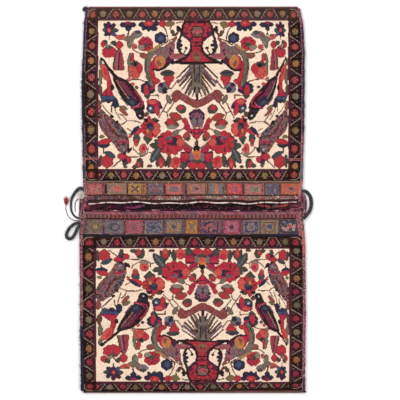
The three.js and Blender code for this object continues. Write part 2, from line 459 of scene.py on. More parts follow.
BRIDGE_TOP, BRIDGE_BOTTOM = 30.0, -62.0
# For each pouch: which way it runs in y, its seed, and y where the back ends, the pile ends and starts, the
# lip hangs, the back starts, and the seams start and end
POUCHES = {
    "upper": {"sign": 1, "seed": 3, "end": 520.0, "pile_end": 515.5, "pile": 51.0, "lip": -5.5,
              "start": BRIDGE_TOP, "seam": (515, -6)},
    "lower": {"sign": -1, "seed": 8, "end": -520.0, "pile_end": -516.5, "pile": -98.0, "lip": -31.0,
              "start": BRIDGE_BOTTOM, "seam": (-31, -515)},
}


def under_height(pouch, across, x, y):
    """Height of the underside of a pouch's front."""
    p = POUCHES[pouch]
    open_ = ease((1 - np.abs(across)) / SIDE_RAMP) * ease((p["end"] - y) * p["sign"] / END_RAMP)
    swell = 1 + 0.14 * slow_noise(x, y, 210, p["seed"])
    ripple = 0.5 * slow_noise(x, y, 60, p["seed"] + 1)
    return BACK_THICKNESS + SEAM_GAP + open_ * ((POCKET_GAP - SEAM_GAP - 1.0) * swell + ripple)


# ---------------------------------------------------------------- painting cloth

class Cloth:
    """A woven field of colour. Arrays u and v place each knot, and later shapes cover earlier ones."""

    def __init__(self, u, v, ground):
        self.u, self.v = u, v
        self.rgb = np.tile(ground, u.shape + (1,)).astype(float)

    def fill(self, mask, colour):
        self.rgb[mask] = colour
        return mask

    def box(self, colour, low_u, high_u, low_v, high_v):
        across = (self.u > low_u) & (self.u < high_u)
        return self.fill(across & (self.v > low_v) & (self.v < high_v), colour)

    def row(self, colour, low, high):
        """A line woven right across the cloth."""
        return self.fill((self.v > low) & (self.v < high), colour)

    def local(self, u, v, turn):
        c, s = math.cos(math.radians(turn)), math.sin(math.radians(turn))
        du, dv = self.u - u, self.v - v
        return du * c + dv * s, dv * c - du * s

    def oval(self, colour, u, v, ru, rv=None, turn=0):
        a, b = self.local(u, v, turn)
        return self.fill((a / ru) ** 2 + (b / (rv or ru)) ** 2 < 1, colour)

    def bloom(self, colour, u, v, ru, rv, petals, line=None, turn=0):
        """A flower head with scalloped petals, and a darker line between each two if one is given."""
        a, b = self.local(u, v, turn)
        angle = np.arctan2(b / rv, a / ru)
        radius = np.hypot(a / ru, b / rv)
        scallop = np.abs(np.sin(petals * angle / 2))
        head = radius < 0.78 + 0.22 * scallop ** 0.6
        self.fill(head, colour)
        if line is not None:
            width = 1.3 / (radius * (ru + rv) / 2 + 0.1) * petals / 2
            self.fill((radius < 0.8) & (radius > 0.4) & (scallop < width), line)
        return head

    def leaf(self, colour, start, end, width):
        """A pointed leaf from start to end."""
        length = math.dist(start, end)
        turn = math.degrees(math.atan2(end[1] - start[1], end[0] - start[0]))
        a, b = self.local(*start, turn)
        t = a / length
        half = width / 2 * np.sin(math.pi * np.clip(t, 0, 1)) ** 0.75
        self.fill((t > 0) & (t < 1) & (np.abs(b) < half), colour)

    def stroke(self, colour, width, *points):
        """A line through points with round ends. A pair of widths makes it taper."""
        first, last = width if isinstance(width, tuple) else (width, width)
        runs = len(points) - 1
        drawn = np.zeros(self.u.shape, bool)
        for k, ((u0, v0), (u1, v1)) in enumerate(zip(points, points[1:])):
            du, dv = u1 - u0, v1 - v0
            along = ((self.u - u0) * du + (self.v - v0) * dv) / (du * du + dv * dv)
            along = np.clip(along, 0, 1)
            away = np.hypot(self.u - u0 - along * du, self.v - v0 - along * dv)
            half = (first + (last - first) * (k + along) / runs) / 2
            drawn |= away < half
        return self.fill(drawn, colour)

    def ovals(self, *each):
        for oval in each:
            self.oval(*oval)

    def leaves(self, *each):
        for leaf in each:
            self.leaf(*leaf)

    def strokes(self, *each):
        for stroke in each:
            self.stroke(*stroke)

    def shape(self, colour, *points):
        """A closed outline of straight sides."""
        inside = np.zeros(self.u.shape, bool)
        for (u0, v0), (u1, v1) in zip(points, points[1:] + points[:1]):
            if v0 == v1:
                continue
            crosses = (self.v >= min(v0, v1)) & (self.v < max(v0, v1))
            edge = u0 + (u1 - u0) * (self.v - v0) / (v1 - v0)
            inside ^= crosses & (self.u < edge)
        self.fill(inside, colour)
        return inside

    def fleck(self, mask, colours, size, seed):
        """Small patches of several colours, mixed."""
        patch = np.floor(self.u / size).astype(int) * 31 + np.floor(self.v / size).astype(int) * 57
        self.rgb[mask] = choose(np.abs(patch), colours, seed)[mask]


def choose(number, colours, seed):
    """A colour for each numbered thing, the same one each time."""
    order = np.random.default_rng(seed).integers(0, len(colours), 4096)
    return np.array(colours)[order[number % 4096]]


DARKEST_EDGED = 0.06


def outlined(rgb, ground, depth):
    """One more row of knots round every shape, in a darker shade of it."""
    shaped = np.abs(rgb - ground).sum(-1) > 1e-6
    painted = shaped & (rgb.sum(-1) > DARKEST_EDGED)
    total, count = np.zeros(rgb.shape), np.zeros(painted.shape)
    for axis, step in ((0, 1), (0, -1), (1, 1), (1, -1)):
        total += np.roll(rgb * painted[..., None], step, axis)
        count += np.roll(painted, step, axis)
    edge = ~shaped & (count > 0)
    rgb = rgb.copy()
    rgb[edge] = total[edge] / count[edge][:, None] * depth
    return rgb, shaped | edge


def mottle(rgb, amount, seed):
    """Each knot a little lighter, darker or warmer than the next, as hand-dyed wool is."""
    rng = np.random.default_rng(seed)
    value = rng.normal(1, amount, rgb.shape[:-1])[..., None]
    warmth = rng.normal(0, amount * 0.35, rgb.shape[:-1])
    shift = 1 + np.stack([warmth, 0 * warmth, -warmth], -1)
    return np.clip(rgb * np.clip(value, 0.5, 1.5) * shift, 0, 1)


# ---------------------------------------------------------------- the garden in each field

# Half of the garden is drawn once, in its own units: u from 0 on the middle line to 260 at the side of the
# field, v from 0 at the foot of the vase to 360. Brown twigs lie under everything else.
TWIGS = [
    [(186, 330), (142, 330), (129, 324), (127, 320), (114, 323)],
    [(142, 330), (159, 321), (172, 312), (173, 306)], [(128, 320), (127, 310)], [(229, 356), (209, 338)],
    [(97, 236), (84, 219), (67, 194), (64, 181)], [(84, 219), (74, 224), (72, 236)],
    [(72, 222), (52, 197)], [(76, 147), (66, 166), (60, 164), (47, 145)],
    [(164, 142), (137, 143), (119, 150)], [(209, 255), (197, 251), (186, 245), (190, 233), (199, 227)],
    [(186, 245), (164, 245), (147, 249)], [(200, 240), (206, 222), (207, 205)],
    [(216, 232), (232, 216), (247, 200)], [(216, 222), (213, 203)],
    [(159, 76), (149, 84), (137, 88), (114, 89), (104, 81)], [(168, 52), (167, 20)],
    [(178, 52), (172, 40), (168, 26)], [(86, 65), (75, 59), (70, 51), (71, 40), (77, 23), (84, 15)],
    [(78, 58), (60, 50), (50, 44)], [(62, 30), (59, 40), (52, 41), (46, 34), (46, 24)],
    [(62, 30), (66, 24), (64, 18)], [(50, 8), (38, 4), (28, 10)], [(219, 50), (219, 40)],
    [(240, 52), (222, 70), (204, 52)], [(112, 182), (92, 182), (92, 190)],
    [(45, 268), (32, 262), (26, 250)], [(150, 262), (176, 270), (190, 262)], [(248, 322), (248, 306)],
]


def weave_vase(c):
    """Half of the vase, with its handle and the sheaf of blades that stands in it."""
    c.stroke(MAROON, 3, (0, 170), (0, 204))
    stalk = c.shape(LEAF, (0, 112), (20, 112), (17, 124), (12, 138), (11, 152), (8, 170), (3, 178),
                    (0, 178))
    c.fleck(stalk, [LEAF, FOREST, GREY, LEAF], 3.5, 50)
    c.stroke(STEEL, 3.4, (0, 116), (0, 136))
    c.oval(TEAL, 0, 142, 3.6, 12)
    c.stroke(MAROON, 3.4, (7, 116), (6, 150))
    blades = [(19, 116, 50, 141, BLACK), (17, 124, 46, 151, MAUVE), (15, 130, 42, 158, BROWN),
              (13, 136, 35, 166, BLACK), (11, 144, 27, 175, BROWN), (8, 153, 20, 180, LEAF),
              (4, 164, 11, 184, BLACK)]
    for foot, low, tip, high, colour in blades:
        c.stroke(colour, (4.0, 3.0), (foot, low), (tip, high))
    # the black of the lip and the outline, then the red body
    c.shape(BLACK, (0, 114), (62, 114), (63, 109.5), (50, 105), (38, 99), (28, 92), (19, 82), (15.5, 68),
            (0, 68))
    c.shape(BLACK, (0, 70), (15.5, 70), (17, 58), (27, 49), (37, 41), (41, 30), (38, 14), (30, -4), (0, -4))
    body = c.shape(RED, (0, 108.5), (37, 108.5), (27, 101), (18, 92), (11.5, 80), (10.5, 68), (12, 57),
                   (23, 46), (32, 38), (35, 29), (33, 14), (26, 1), (0, 1))
    c.fleck(body, [RED, CRIMSON, RED, MAROON], 3.5, 40)
    c.shape(PLUM, (36, 27), (28, 33), (24, 42), (15, 52), (22, 52), (32, 42), (38, 36))
    c.fleck(c.shape(CRIMSON, (0, 102), (24, 103), (14, 88), (0, 76)), [CRIMSON, RED, RUST, BRICK], 3.5, 41)
    c.fleck(c.shape(RUST, (0, 106), (11, 105), (8, 92), (0, 90)), [RUST, BROWN, OLIVE, RED], 3.5, 42)
    c.stroke(BLACK, 3.4, (0, 68), (13, 68))
    c.oval(BLACK, 0, 30, 17, 16.5)
    c.fleck(c.oval(MAUVE, 0, 30, 14, 13.5), [MAUVE, PLUM, BROWN, ROSE, OLIVE], 2.6, 48)
    c.fleck(c.oval(CRIMSON, 0, 30, 7, 6.5), [CRIMSON, ROSE, CORAL], 2.4, 49)
    c.stroke(BLACK, 3, (0, 4), (26, 4))
    # the handle, its scallops and its curl
    c.strokes((BLACK, (4, 8), (26, 92), (37, 89), (43, 82), (45, 72)),
              (BLACK, (9, 4), (45, 73), (44.5, 60), (42, 48), (39, 38), (39, 27)),
              (BLACK, 3.2, (39, 28), (41, 21), (47, 18)))
    for u, v, size in ((38.5, 66, 5), (40, 77, 4), (40, 55, 4), (25.5, 73, 4.4), (47, 18, 4)):
        c.oval(BLACK, u, v, size, size * 0.9)
    c.oval(NAVY, 44, 62, 3, 10)
    c.strokes((BLACK, 2.8, (26, 76), (28, 82), (33, 88)),
              (BROWN, 3, (61, 30), (59, 36), (52, 38), (45, 28)))


def weave_cloud_band(c):
    """The brick-red cloud band over the vase, and the rosette and ribbons above it."""
    band = c.stroke(BRICK, (15, 13), (0, 205), (16, 197), (30, 187), (42, 181))
    band = band | c.oval(BRICK, 47, 181, 12.5, 10.5) | c.oval(BRICK, 52, 191, 6.5, 7)
    c.fleck(band, [BRICK, ROSE * 0.8, BROWN, BRICK, RUST], 3, 39)
    c.bloom(PLUM, 0, 233, 19, 17, 8)
    c.fleck((c.u / 15) ** 2 + ((c.v - 236) / 13) ** 2 < 1, [PLUM, NAVY, MAUVE, PLUM], 4, 44)
    c.ovals((MAUVE, 0, 231, 7, 6), (CRIMSON, 0, 231, 3.5, 3.2), (GREY, 8, 246, 7, 6),
            (BROWN, 38, 214, 11, 10), (FOREST, 34, 219, 6, 5), (RED, 39, 210, 6, 5))
    c.leaf(LEAF, (62, 202), (72, 182), 10)
    c.stroke(RED, (7, 9), (30, 242), (27, 250), (24, 260), (18, 267))
    c.ovals((RED, 31, 243, 5.5, 5), (CRIMSON, 25, 259, 6.5, 7))
    c.fleck(c.shape(CRIMSON, (0, 290), (9, 280), (21, 266), (0, 264)), [CRIMSON, WINE, RED, CRIMSON], 4, 43)
    c.stroke(PLUM, 3, (0, 275), (9, 271))
    c.ovals((RUST, 25, 281, 8, 9), (RED, 26, 277, 5, 5), (FOREST, 21, 287, 4, 4))
    c.leaf(MAUVE, (0, 257), (14, 250), 8)
    c.strokes((SALMON, 2, (4, 262), (12, 258)), (BROWN, 3, (0, 292), (2, 300)))
    # the palmette at the very top
    c.oval(BLACK, 1, 311, 7.5, 9)
    c.bloom(ORANGE, 2, 326, 10, 12, 5)
    c.ovals((CORAL, 2, 329, 5, 7), (STEEL, 15, 330, 7, 9), (RED, 12, 351, 12, 9), (FOREST, 4, 341, 8, 4))
    c.bloom(CRIMSON, 30, 331, 12.5, 13, 5)
    c.ovals((RED, 30, 327, 8, 6), (PLUM, 22, 343, 6, 4))
    c.leaf(CRIMSON, (12, 318), (36, 302), 15)
    c.strokes((OLIVE, 3, (12, 309), (28, 299)), (MAROON, 2.6, (20, 321), (40, 321)))
    c.oval(FOREST, 35, 351, 8.5, 8.5)
    c.leaf(TEAL, (27, 344), (44, 357), 8)


def weave_big_flowers(c):
    """The peonies, tulips and buds between the vase and the birds."""
    c.leaves((FOREST, (96, 306), (122, 302), 12), (TEAL, (92, 300), (108, 290), 10))
    c.bloom(RED, 67, 297, 34, 29, 11, CRIMSON)
    c.ovals((MAROON, 62, 292, 17, 11, -10), (CRIMSON, 70, 289, 11, 8), (NAVY, 54, 293, 5.5, 10, 10),
            (MAUVE, 70, 286, 8, 5), (TEAL, 72, 287, 4, 3))
    c.strokes((MAROON, 3, (72, 318), (74, 306)), (MAROON, 3, (88, 312), (84, 302)),
              (MAROON, 3, (86, 280), (98, 284)))
    c.oval(CORAL, 41, 296, 10, 9)
    c.leaf(LEAF, (62, 282), (44, 266), 10)
    c.bloom(CORAL, 55, 345, 14.5, 14, 6, RED)
    c.oval(RED, 52, 341, 8, 8)
    c.leaves((FOREST, (72, 356), (70, 326), 11), (FOREST, (104, 356), (92, 326), 9),
             (FOREST, (80, 356), (90, 330), 7))
    c.ovals((RED, 92, 346, 7, 12), (CORAL, 92, 350, 4, 6))
    c.leaf(TEAL, (120, 346), (93, 308), 19)
    c.stroke(SAGE, 2, (115, 340), (98, 314))
    # the second peony
    c.shape(FOREST, (129, 300), (141, 284), (136, 278), (118, 280), (116, 288))
    c.bloom(RED, 119, 262, 27, 23, 10, MAROON)
    c.ovals((CORAL, 104, 264, 10, 14), (NAVY, 120, 258, 11, 10), (TEAL, 118, 262, 6, 5),
            (RUST, 128, 275, 6, 6), (ORANGE, 127, 268, 4, 5), (BLACK, 102, 243, 8, 3.5),
            (FOREST, 108, 240, 6, 3), (BLACK, 130, 242, 7, 5))
    c.stroke(RED, 5, (122, 245), (121, 234))
    # buds beside the peonies
    c.ovals((SAGE, 142, 322, 9, 6), (CORAL, 142, 311, 10, 11), (CRIMSON, 140, 310, 5, 5),
            (CORAL, 164, 298, 5.5, 6))
    c.leaf(TEAL, (164, 300), (162, 272), 18)
    c.oval(RED, 164, 292, 6, 5)
    c.leaves((RED, (144, 264), (172, 276), 12), (NAVY, (152, 258), (180, 276), 9),
             (BROWN, (46, 254), (80, 248), 20), (SAGE, (48, 258), (76, 258), 9))
    c.oval(RED, 65, 246, 10, 7, -20)
    c.leaf(RUST, (38, 238), (68, 228), 17)
    c.oval(RED, 52, 232, 8, 6)
    # the navy and red flower between the vase and the parrot
    c.ovals((PLUM, 106, 208, 16, 14), (NAVY, 112, 214, 12, 10), (TEAL, 114, 216, 8, 7),
            (SKY, 115, 213, 3.2, 3))
    c.leaves((RED, (98, 230), (100, 204), 12), (CRIMSON, (88, 204), (122, 196), 16))
    c.oval(CORAL, 108, 198, 10, 5)
    c.stroke(PLUM, 3, (92, 200), (86, 212))
    # flowers on the way down to the small bird
    c.bloom(STEEL, 82, 164, 12, 13, 5)
    c.ovals((NAVY, 78, 168, 6, 6), (PLUM, 86, 158, 6, 5), (BLACK, 76, 174, 5, 4))
    c.leaf(FOREST, (118, 190), (124, 172), 12)
    c.bloom(NAVY, 118, 164, 18, 16, 6)
    c.ovals((RED, 121, 168, 7, 13), (CRIMSON, 108, 160, 6, 8), (NAVY, 114, 158, 4, 9),
            (RED, 69, 141, 11, 10))
    c.leaves((RED, (69, 160), (69, 136), 12), (FOREST, (56, 132), (88, 132), 12))
    c.stroke(NAVY, 3, (60, 130), (82, 130))


def weave_small_bird(c):
    """The small bird that leans to the vase, its curved tail and its orange heart."""
    c.strokes((LEAF, (7, 13), (109, 156), (117, 140), (120, 120), (117, 100), (106, 82)),
              (FOREST, 3, (113, 148), (123, 122), (120, 102)),
              (RED, (9, 8), (99, 150), (106, 138), (110, 124), (107, 112)))
    c.oval(RED, 97, 148, 7, 5)
    wing = c.shape(MAUVE, (58, 94), (74, 104), (98, 88), (108, 78), (98, 68), (80, 70), (64, 56), (55, 60))
    c.fleck(wing, [MAUVE, ROSE, BROWN, GREY, MAUVE], 4, 38)
    c.fleck(c.stroke(BRICK, 8, (62, 100), (64, 80), (60, 62)), [BRICK, ROSE, MAROON], 3.5, 37)
    c.strokes((LEAF, 5, (98, 86), (84, 78), (74, 70)), (RUST, 3, (88, 92), (72, 80)),
              (GOLD, 5, (118, 80), (104, 76), (92, 66)))
    c.leaves((ROSE, (74, 96), (28, 94), 12), (RUST, (62, 96), (36, 91), 5))
    c.ovals((CRIMSON, 98, 115, 13, 10), (RED, 91, 108, 14.5, 17), (TAN, 89, 106, 11.5, 15.5),
            (ORANGE, 89, 106, 10, 14), (RUST, 91, 111, 6, 7), (GOLD, 87, 103, 3.4, 9, 12))
    c.stroke(BLACK, (4, 7), (106, 124), (93, 126), (80, 121), (69, 112), (60, 106))
    c.ovals((PLUM, 70, 103, 6, 11, 12), (OLIVE, 75, 92, 4, 7))
    c.stroke(RUST, 4, (62, 64), (52, 48))


def weave_foot(c):
    """Everything that grows along the foot of the field."""
    c.bloom(NAVY, 88, 46, 13.5, 14.5, 6)
    c.ovals((BLUE, 87, 47, 7, 8), (BLACK, 47, 25, 5.5, 5), (BROWN, 60, 31, 4, 4))
    c.leaves((OLIVE, (56, 8), (78, 12), 13), (RED, (74, 10), (94, 8), 13))
    c.bloom(RED, 124, 63, 18.5, 19, 8, MAROON)
    c.ovals((CRIMSON, 116, 54, 7, 7), (SAGE, 134, 72, 8, 6), (FOREST, 124, 65, 6.5, 6),
            (RUST, 128, 94, 10, 5.5), (CORAL, 153, 70, 5, 5.5), (RUST, 151, 72, 3, 3))
    c.leaves((LEAF, (166, 74), (166, 50), 11), (LEAF, (152, 47), (182, 50), 13),
             (SAGE, (158, 54), (164, 66), 6), (GREY, (132, 36), (162, 39), 17))
    c.ovals((FOREST, 144, 32, 8, 4), (RUST, 156, 38, 4, 5), (NAVY, 100, 9, 8, 5), (NAVY, 104, 20, 7, 6))
    c.leaves((NAVY, (118, 10), (116, 28), 11), (NAVY, (122, 8), (131, 26), 10))
    c.ovals((NAVY, 134, 10, 7, 5.5), (RED, 117, 8, 12, 7), (CORAL, 115, 7, 5, 4), (NAVY, 169, 20, 6.5, 7),
            (NAVY, 157, 11, 7, 5), (NAVY, 182, 11, 7, 5), (PLUM, 169, 9, 11, 5), (CRIMSON, 169, 7, 6, 3))
    # the daisy in the corner
    for angle, colour in zip(range(0, 360, 45), (TEAL, NAVY, PLUM, BLUE, TEAL, PLUM, PLUM, NAVY)):
        reach = math.radians(angle)
        c.oval(colour, 219 + 16 * math.cos(reach), 26 + 15 * math.sin(reach), 7, 4.2, angle)
    c.ovals((PLUM, 219, 26, 8.5, 8.5), (CORAL, 219, 26, 5, 5))
    # the red fan and its side leaves
    c.bloom(RED, 221, 84, 22, 15, 9, CRIMSON)
    c.shape(FOREST, (209, 70), (221, 80), (233, 70))
    c.shape(IVORY, (196, 62), (221, 70), (246, 62), (246, 40), (196, 40))
    c.leaf(SAGE, (221, 74), (234, 56), 6)
    c.ovals((RED, 241, 63, 7.5, 8), (FOREST, 233, 58, 7, 4.5, 30), (RED, 194, 64, 9, 9),
            (FOREST, 206, 60, 8, 4.5, -30))
    c.leaves((CORAL, (176, 46), (204, 42), 10), (RUST, (178, 38), (198, 44), 6))
    # the leaves under the parrot
    c.shape(RUST, (180, 124), (207, 124), (204, 96), (197, 76), (189, 76), (184, 96))
    c.strokes((ROSE, 4, (200, 122), (195, 80)), (PLUM, 4, (194, 122), (193, 84)),
              (CRIMSON, 4, (186, 122), (190, 84)), (FOREST, 2.4, (207, 122), (202, 96), (196, 78)),
              (LEAF, (4, 8), (163, 90), (167, 108), (164, 132)),
              (RED, (4, 7), (157, 90), (157, 104), (151, 118)))
    c.bloom(CORAL, 152, 127, 15, 14, 7, RED)
    c.ovals((RED, 140, 122, 8, 9), (FOREST, 151, 114, 9, 5), (BLACK, 150, 115, 4, 4))


def weave_parrot(c):
    """The parrot with its long tail, and the flowers round it."""
    c.stroke(BLACK, (8.5, 6), (202, 138), (210, 130), (228, 115), (243, 104))
    c.oval(BLACK, 246, 102, 6.5, 5.5)
    body = c.shape(BLACK, (166, 212), (156, 220), (140, 222), (131, 214), (130, 200), (140, 180), (155, 160),
                   (174, 143), (196, 136), (207, 134), (209, 142), (200, 164), (190, 184), (178, 200))
    for shift, colour in ((0, WINE), (7, PLUM), (14, WINE), (21, PLUM), (27, MAROON)):
        c.stroke(colour, 4.4, (144 + shift, 196 - 0.4 * shift), (176 + shift * 0.8, 150 - 0.2 * shift))
    for shift, colour in ((3, CRIMSON), (12, MAUVE), (20, CRIMSON)):
        c.stroke(colour, 1.8, (148 + shift, 192 - 0.4 * shift), (178 + shift * 0.8, 150 - 0.2 * shift))
    c.ovals((NAVY, 163, 196, 15, 11, -50), (TEAL, 163, 200, 6, 5, -50))
    c.fill((c.u + 0.62 * c.v > 304) & body, BLACK)
    c.strokes((TAN, 2.2, (199, 146), (184, 170), (170, 190)), (MAUVE, 2, (188, 188), (174, 206)),
              (CRIMSON, 4.2, (164, 213), (150, 210), (139, 208), (134.5, 198), (141, 184), (152, 172)))
    c.oval(BLACK, 145, 229, 12.5, 12.5)
    c.shape(BLACK, (133, 222), (158, 226), (162, 216), (135, 212))
    c.strokes((NAVY, 4, (138, 218), (156, 221)), (PINK, 2, (161, 211), (150, 208), (142, 200)))
    c.leaves((BROWN, (135, 231), (122, 224), 8), (BLACK, (133, 234), (124, 230), 4))
    c.oval(SKY, 145, 231, 2.6, 2.5)
    c.leaves((RUST, (180, 232), (196, 214), 9), (OLIVE, (178, 216), (196, 208), 7))
    # teal and red flower at the parrot's back
    c.strokes((NAVY, (8, 13), (212, 188), (205, 193), (204, 204)),
              (BLUE, 7, (246, 187), (226, 189), (208, 187)))
    c.ovals((NAVY, 222, 194, 8, 5), (TEAL, 240, 194, 7, 4))
    c.shape(CRIMSON, (247, 182), (208, 182), (213, 170), (222, 164), (236, 172))
    c.stroke(RED, (12, 8), (220, 172), (217, 158), (222, 138), (226, 126))
    c.oval(BLACK, 210, 163, 5, 7)
    c.leaves((CORAL, (222, 146), (245, 114), 21), (RED, (224, 138), (238, 120), 9),
             (LEAF, (250, 156), (252, 124), 10), (LEAF, (248, 120), (252, 102), 7),
             (RUST, (254, 220), (256, 194), 10), (BROWN, (252, 184), (254, 156), 11))
    c.ovals((SALMON, 167, 142, 4.5, 4), (CORAL, 158, 154, 4, 3), (BROWN, 147, 161, 3, 2.5))


def weave_pheasant(c):
    """The speckled pheasant in the outer corner, and the flowers round it."""
    c.leaf(CRIMSON, (188, 336), (212, 332), 17)
    c.ovals((NAVY, 198, 340, 8, 6), (RED, 188, 338, 7, 7), (RED, 209, 330, 8, 6),
            (FOREST, 200, 347, 5, 4))
    c.leaf(BLACK, (192, 322), (176, 307), 9)
    pheasant = c.shape(GREY, (214, 318), (200, 324), (188, 312), (189, 292), (196, 270), (208, 248),
                       (226, 232), (244, 218), (256, 218), (260, 240), (251, 266), (234, 288), (222, 304))
    c.fleck(pheasant, [BROWN, MAUVE, GREY, SOOT, ROSE, RUST, BROWN], 4, 45)
    c.oval(PLUM, 201, 309, 12, 11)
    c.fleck(((c.u - 202) / 10) ** 2 + ((c.v - 309) / 9) ** 2 < 1, [PLUM, MAUVE, GREY, ROSE], 3, 46)
    c.ovals((LEAF, 204, 308, 4.5, 4), (SKY, 203, 313, 1.8, 1.8))
    breast = c.shape(FOREST, (200, 296), (190, 290), (197, 268), (208, 252), (216, 262), (208, 286))
    c.fleck(breast, [FOREST, SOOT, MAUVE, TEAL, BROWN], 4, 47)
    c.strokes((CRIMSON, 4.5, (218, 298), (206, 293), (192, 297)),
              (ROSE, 2.6, (216, 292), (206, 288), (194, 291)))
    for shift, colour in ((0, MAROON), (9, BRICK), (18, BROWN)):
        c.stroke(colour, 3.4, (216 + shift, 282 + shift * 0.2), (238 + shift * 0.8, 240 + shift * 0.5))
    c.strokes((MAUVE, 2.4, (222, 288), (250, 244)), (GREY, 2.4, (210, 276), (230, 240)))
    c.leaf(BLACK, (216, 252), (206, 242), 7)
    c.oval(BLACK, 218, 232, 4.5, 4)
    c.bloom(RED, 240, 342, 13, 15, 6, BRICK)
    c.leaves((TEAL, (246, 320), (222, 332), 11), (FOREST, (256, 356), (254, 326), 6),
             (NAVY, (234, 302), (260, 304), 11), (RED, (230, 292), (260, 298), 13))
    c.ovals((OLIVE, 252, 282, 5, 3), (RED, 157, 348, 8, 8.5), (CORAL, 159, 350, 4, 4))
    c.leaves((FOREST, (178, 354), (156, 350), 8), (FOREST, (146, 358), (148, 334), 9))
    c.ovals((FOREST, 153, 339, 8, 4), (BROWN, 199, 354, 4, 2), (BROWN, 124, 354, 7, 2))
    c.stroke(CORAL, 2, (186, 283), (180, 280), (184, 276))


TWIG_BROWN = linear("5A3E34")


def weave_garden(c):
    """The whole garden: the shapes, a dark edge round each, and the twigs on what ground is left."""
    weave_vase(c)
    weave_cloud_band(c)
    weave_big_flowers(c)
    weave_small_bird(c)
    weave_foot(c)
    weave_parrot(c)
    weave_pheasant(c)
    c.rgb, taken = outlined(c.rgb, IVORY, 0.5)
    shapes = c.rgb.copy()
    for points in TWIGS:
        c.stroke(TWIG_BROWN, 3.0, *points)
    c.rgb[taken] = shapes[taken]


# Where each field lies, and how far from its middle line the weaver set the garden on each side: pairs of
# design distance and real distance, near the vase and near the mouth.
FIELDS = {
    "upper": {
        "middle": 10.8, "foot": 482.0, "left": -254.5, "right": 255.6, "head": 83.0,
        "rise": ([0, 112, 155, 399], [0, 110, 140, 360]),
        -1: (([0, 124, 220, 260], [0, 138, 238, 265]),
             ([0, 67, 118, 143, 200, 260], [0, 73, 122, 145, 194, 265])),
        1: (([0, 124, 164, 222, 260], [0, 138, 186, 226, 245]),
            ([0, 67, 118, 143, 200, 260], [0, 68, 115, 132, 176, 245])),
    },
    "lower": {
        "middle": 26.1, "foot": -489.0, "left": -260.0, "right": 258.0, "head": -131.0,
        "rise": ([0, 358], [0, 360]),
        -1: (([0, 260], [0, 286]), ([0, 260], [0, 286])),
        1: (([0, 124, 220, 260], [0, 138, 214, 232]), ([0, 54, 145, 260], [0, 56, 143, 232])),
    },
}
NEAR_VASE, NEAR_MOUTH = 170.0, 300.0


def garden_places(pouch, x, y):
    """The design place (u, v) of real places in a field."""
    field = FIELDS[pouch]
    real, design = field["rise"]
    v = np.interp(np.abs(y - field["foot"]), real, design)
    off = np.abs(x - field["middle"])
    u = np.zeros(x.shape)
    for side in (-1, 1):
        low, high = field[side]
        mix = ease((v - NEAR_VASE) / (NEAR_MOUTH - NEAR_VASE))
        here = (1 - mix) * np.interp(off, low[1], low[0]) + mix * np.interp(off, high[1], high[0])
        mine = (x - field["middle"]) * side >= 0
        u[mine] = here[mine]
    return u, v


# ---------------------------------------------------------------- borders

BORDER_GROUND = linear("1D0A0B")
BORDER_INK = linear("120D10")
GUARD = linear("4C2230")
VINE = linear("94806E")
BORDERS = {
    # the ground under the red rosettes, and the red and gold rosettes as (petals, heart)
    "upper": {"warm": linear("2E1220"),
              "reds": [(linear("B44A44"), MAROON), (linear("A84048"), RUST), (linear("B0525A"), MAROON)],
              "golds": [(linear("86704A"), BROWN), (linear("9A7244"), RUST), (linear("7C6A50"), GREY)]},
    "lower": {"warm": linear("34101E"),
              "reds": [(linear("A02E40"), MAROON), (linear("94283A"), PLUM), (linear("A63E4C"), MAROON)],
              "golds": [(linear("5E5C46"), BROWN), (linear("8A6440"), RUST), (linear("6E6248"), GREY)]},
}
ROSETTE = 8.8
STRIP_WIDTHS = {"end": 31.0, "mouth": 30.0, "left": 33.0, "right": 33.0}

# How the rosettes of each strip are set out: place = start + pitch n + growth n^2, with a red one at each
# even n. The ends and mouths are measured in x, the sides from the foot of the field.
SPACING = {
    ("upper", "end"): (-0.4, 34.35, 0.0), ("upper", "mouth"): (-256.0, 34.5, 0.0),
    ("upper", "left"): (-8.6, 36.2, 1.0), ("upper", "right"): (-11.0, 40.7, 0.45),
    ("lower", "end"): (18.8, 34.75, 0.0), ("lower", "mouth"): (4.0, 34.8, 0.0),
    ("lower", "left"): (-19.5, 34.3, 0.58), ("lower", "right"): (-51.0, 36.6, 0.0),
}


def rosette_phase(along, start, pitch, growth):
    if not growth:
        return (along - start) / pitch
    return (np.sqrt(pitch**2 + 4 * growth * np.maximum(along - start, 0)) - pitch) / (2 * growth)


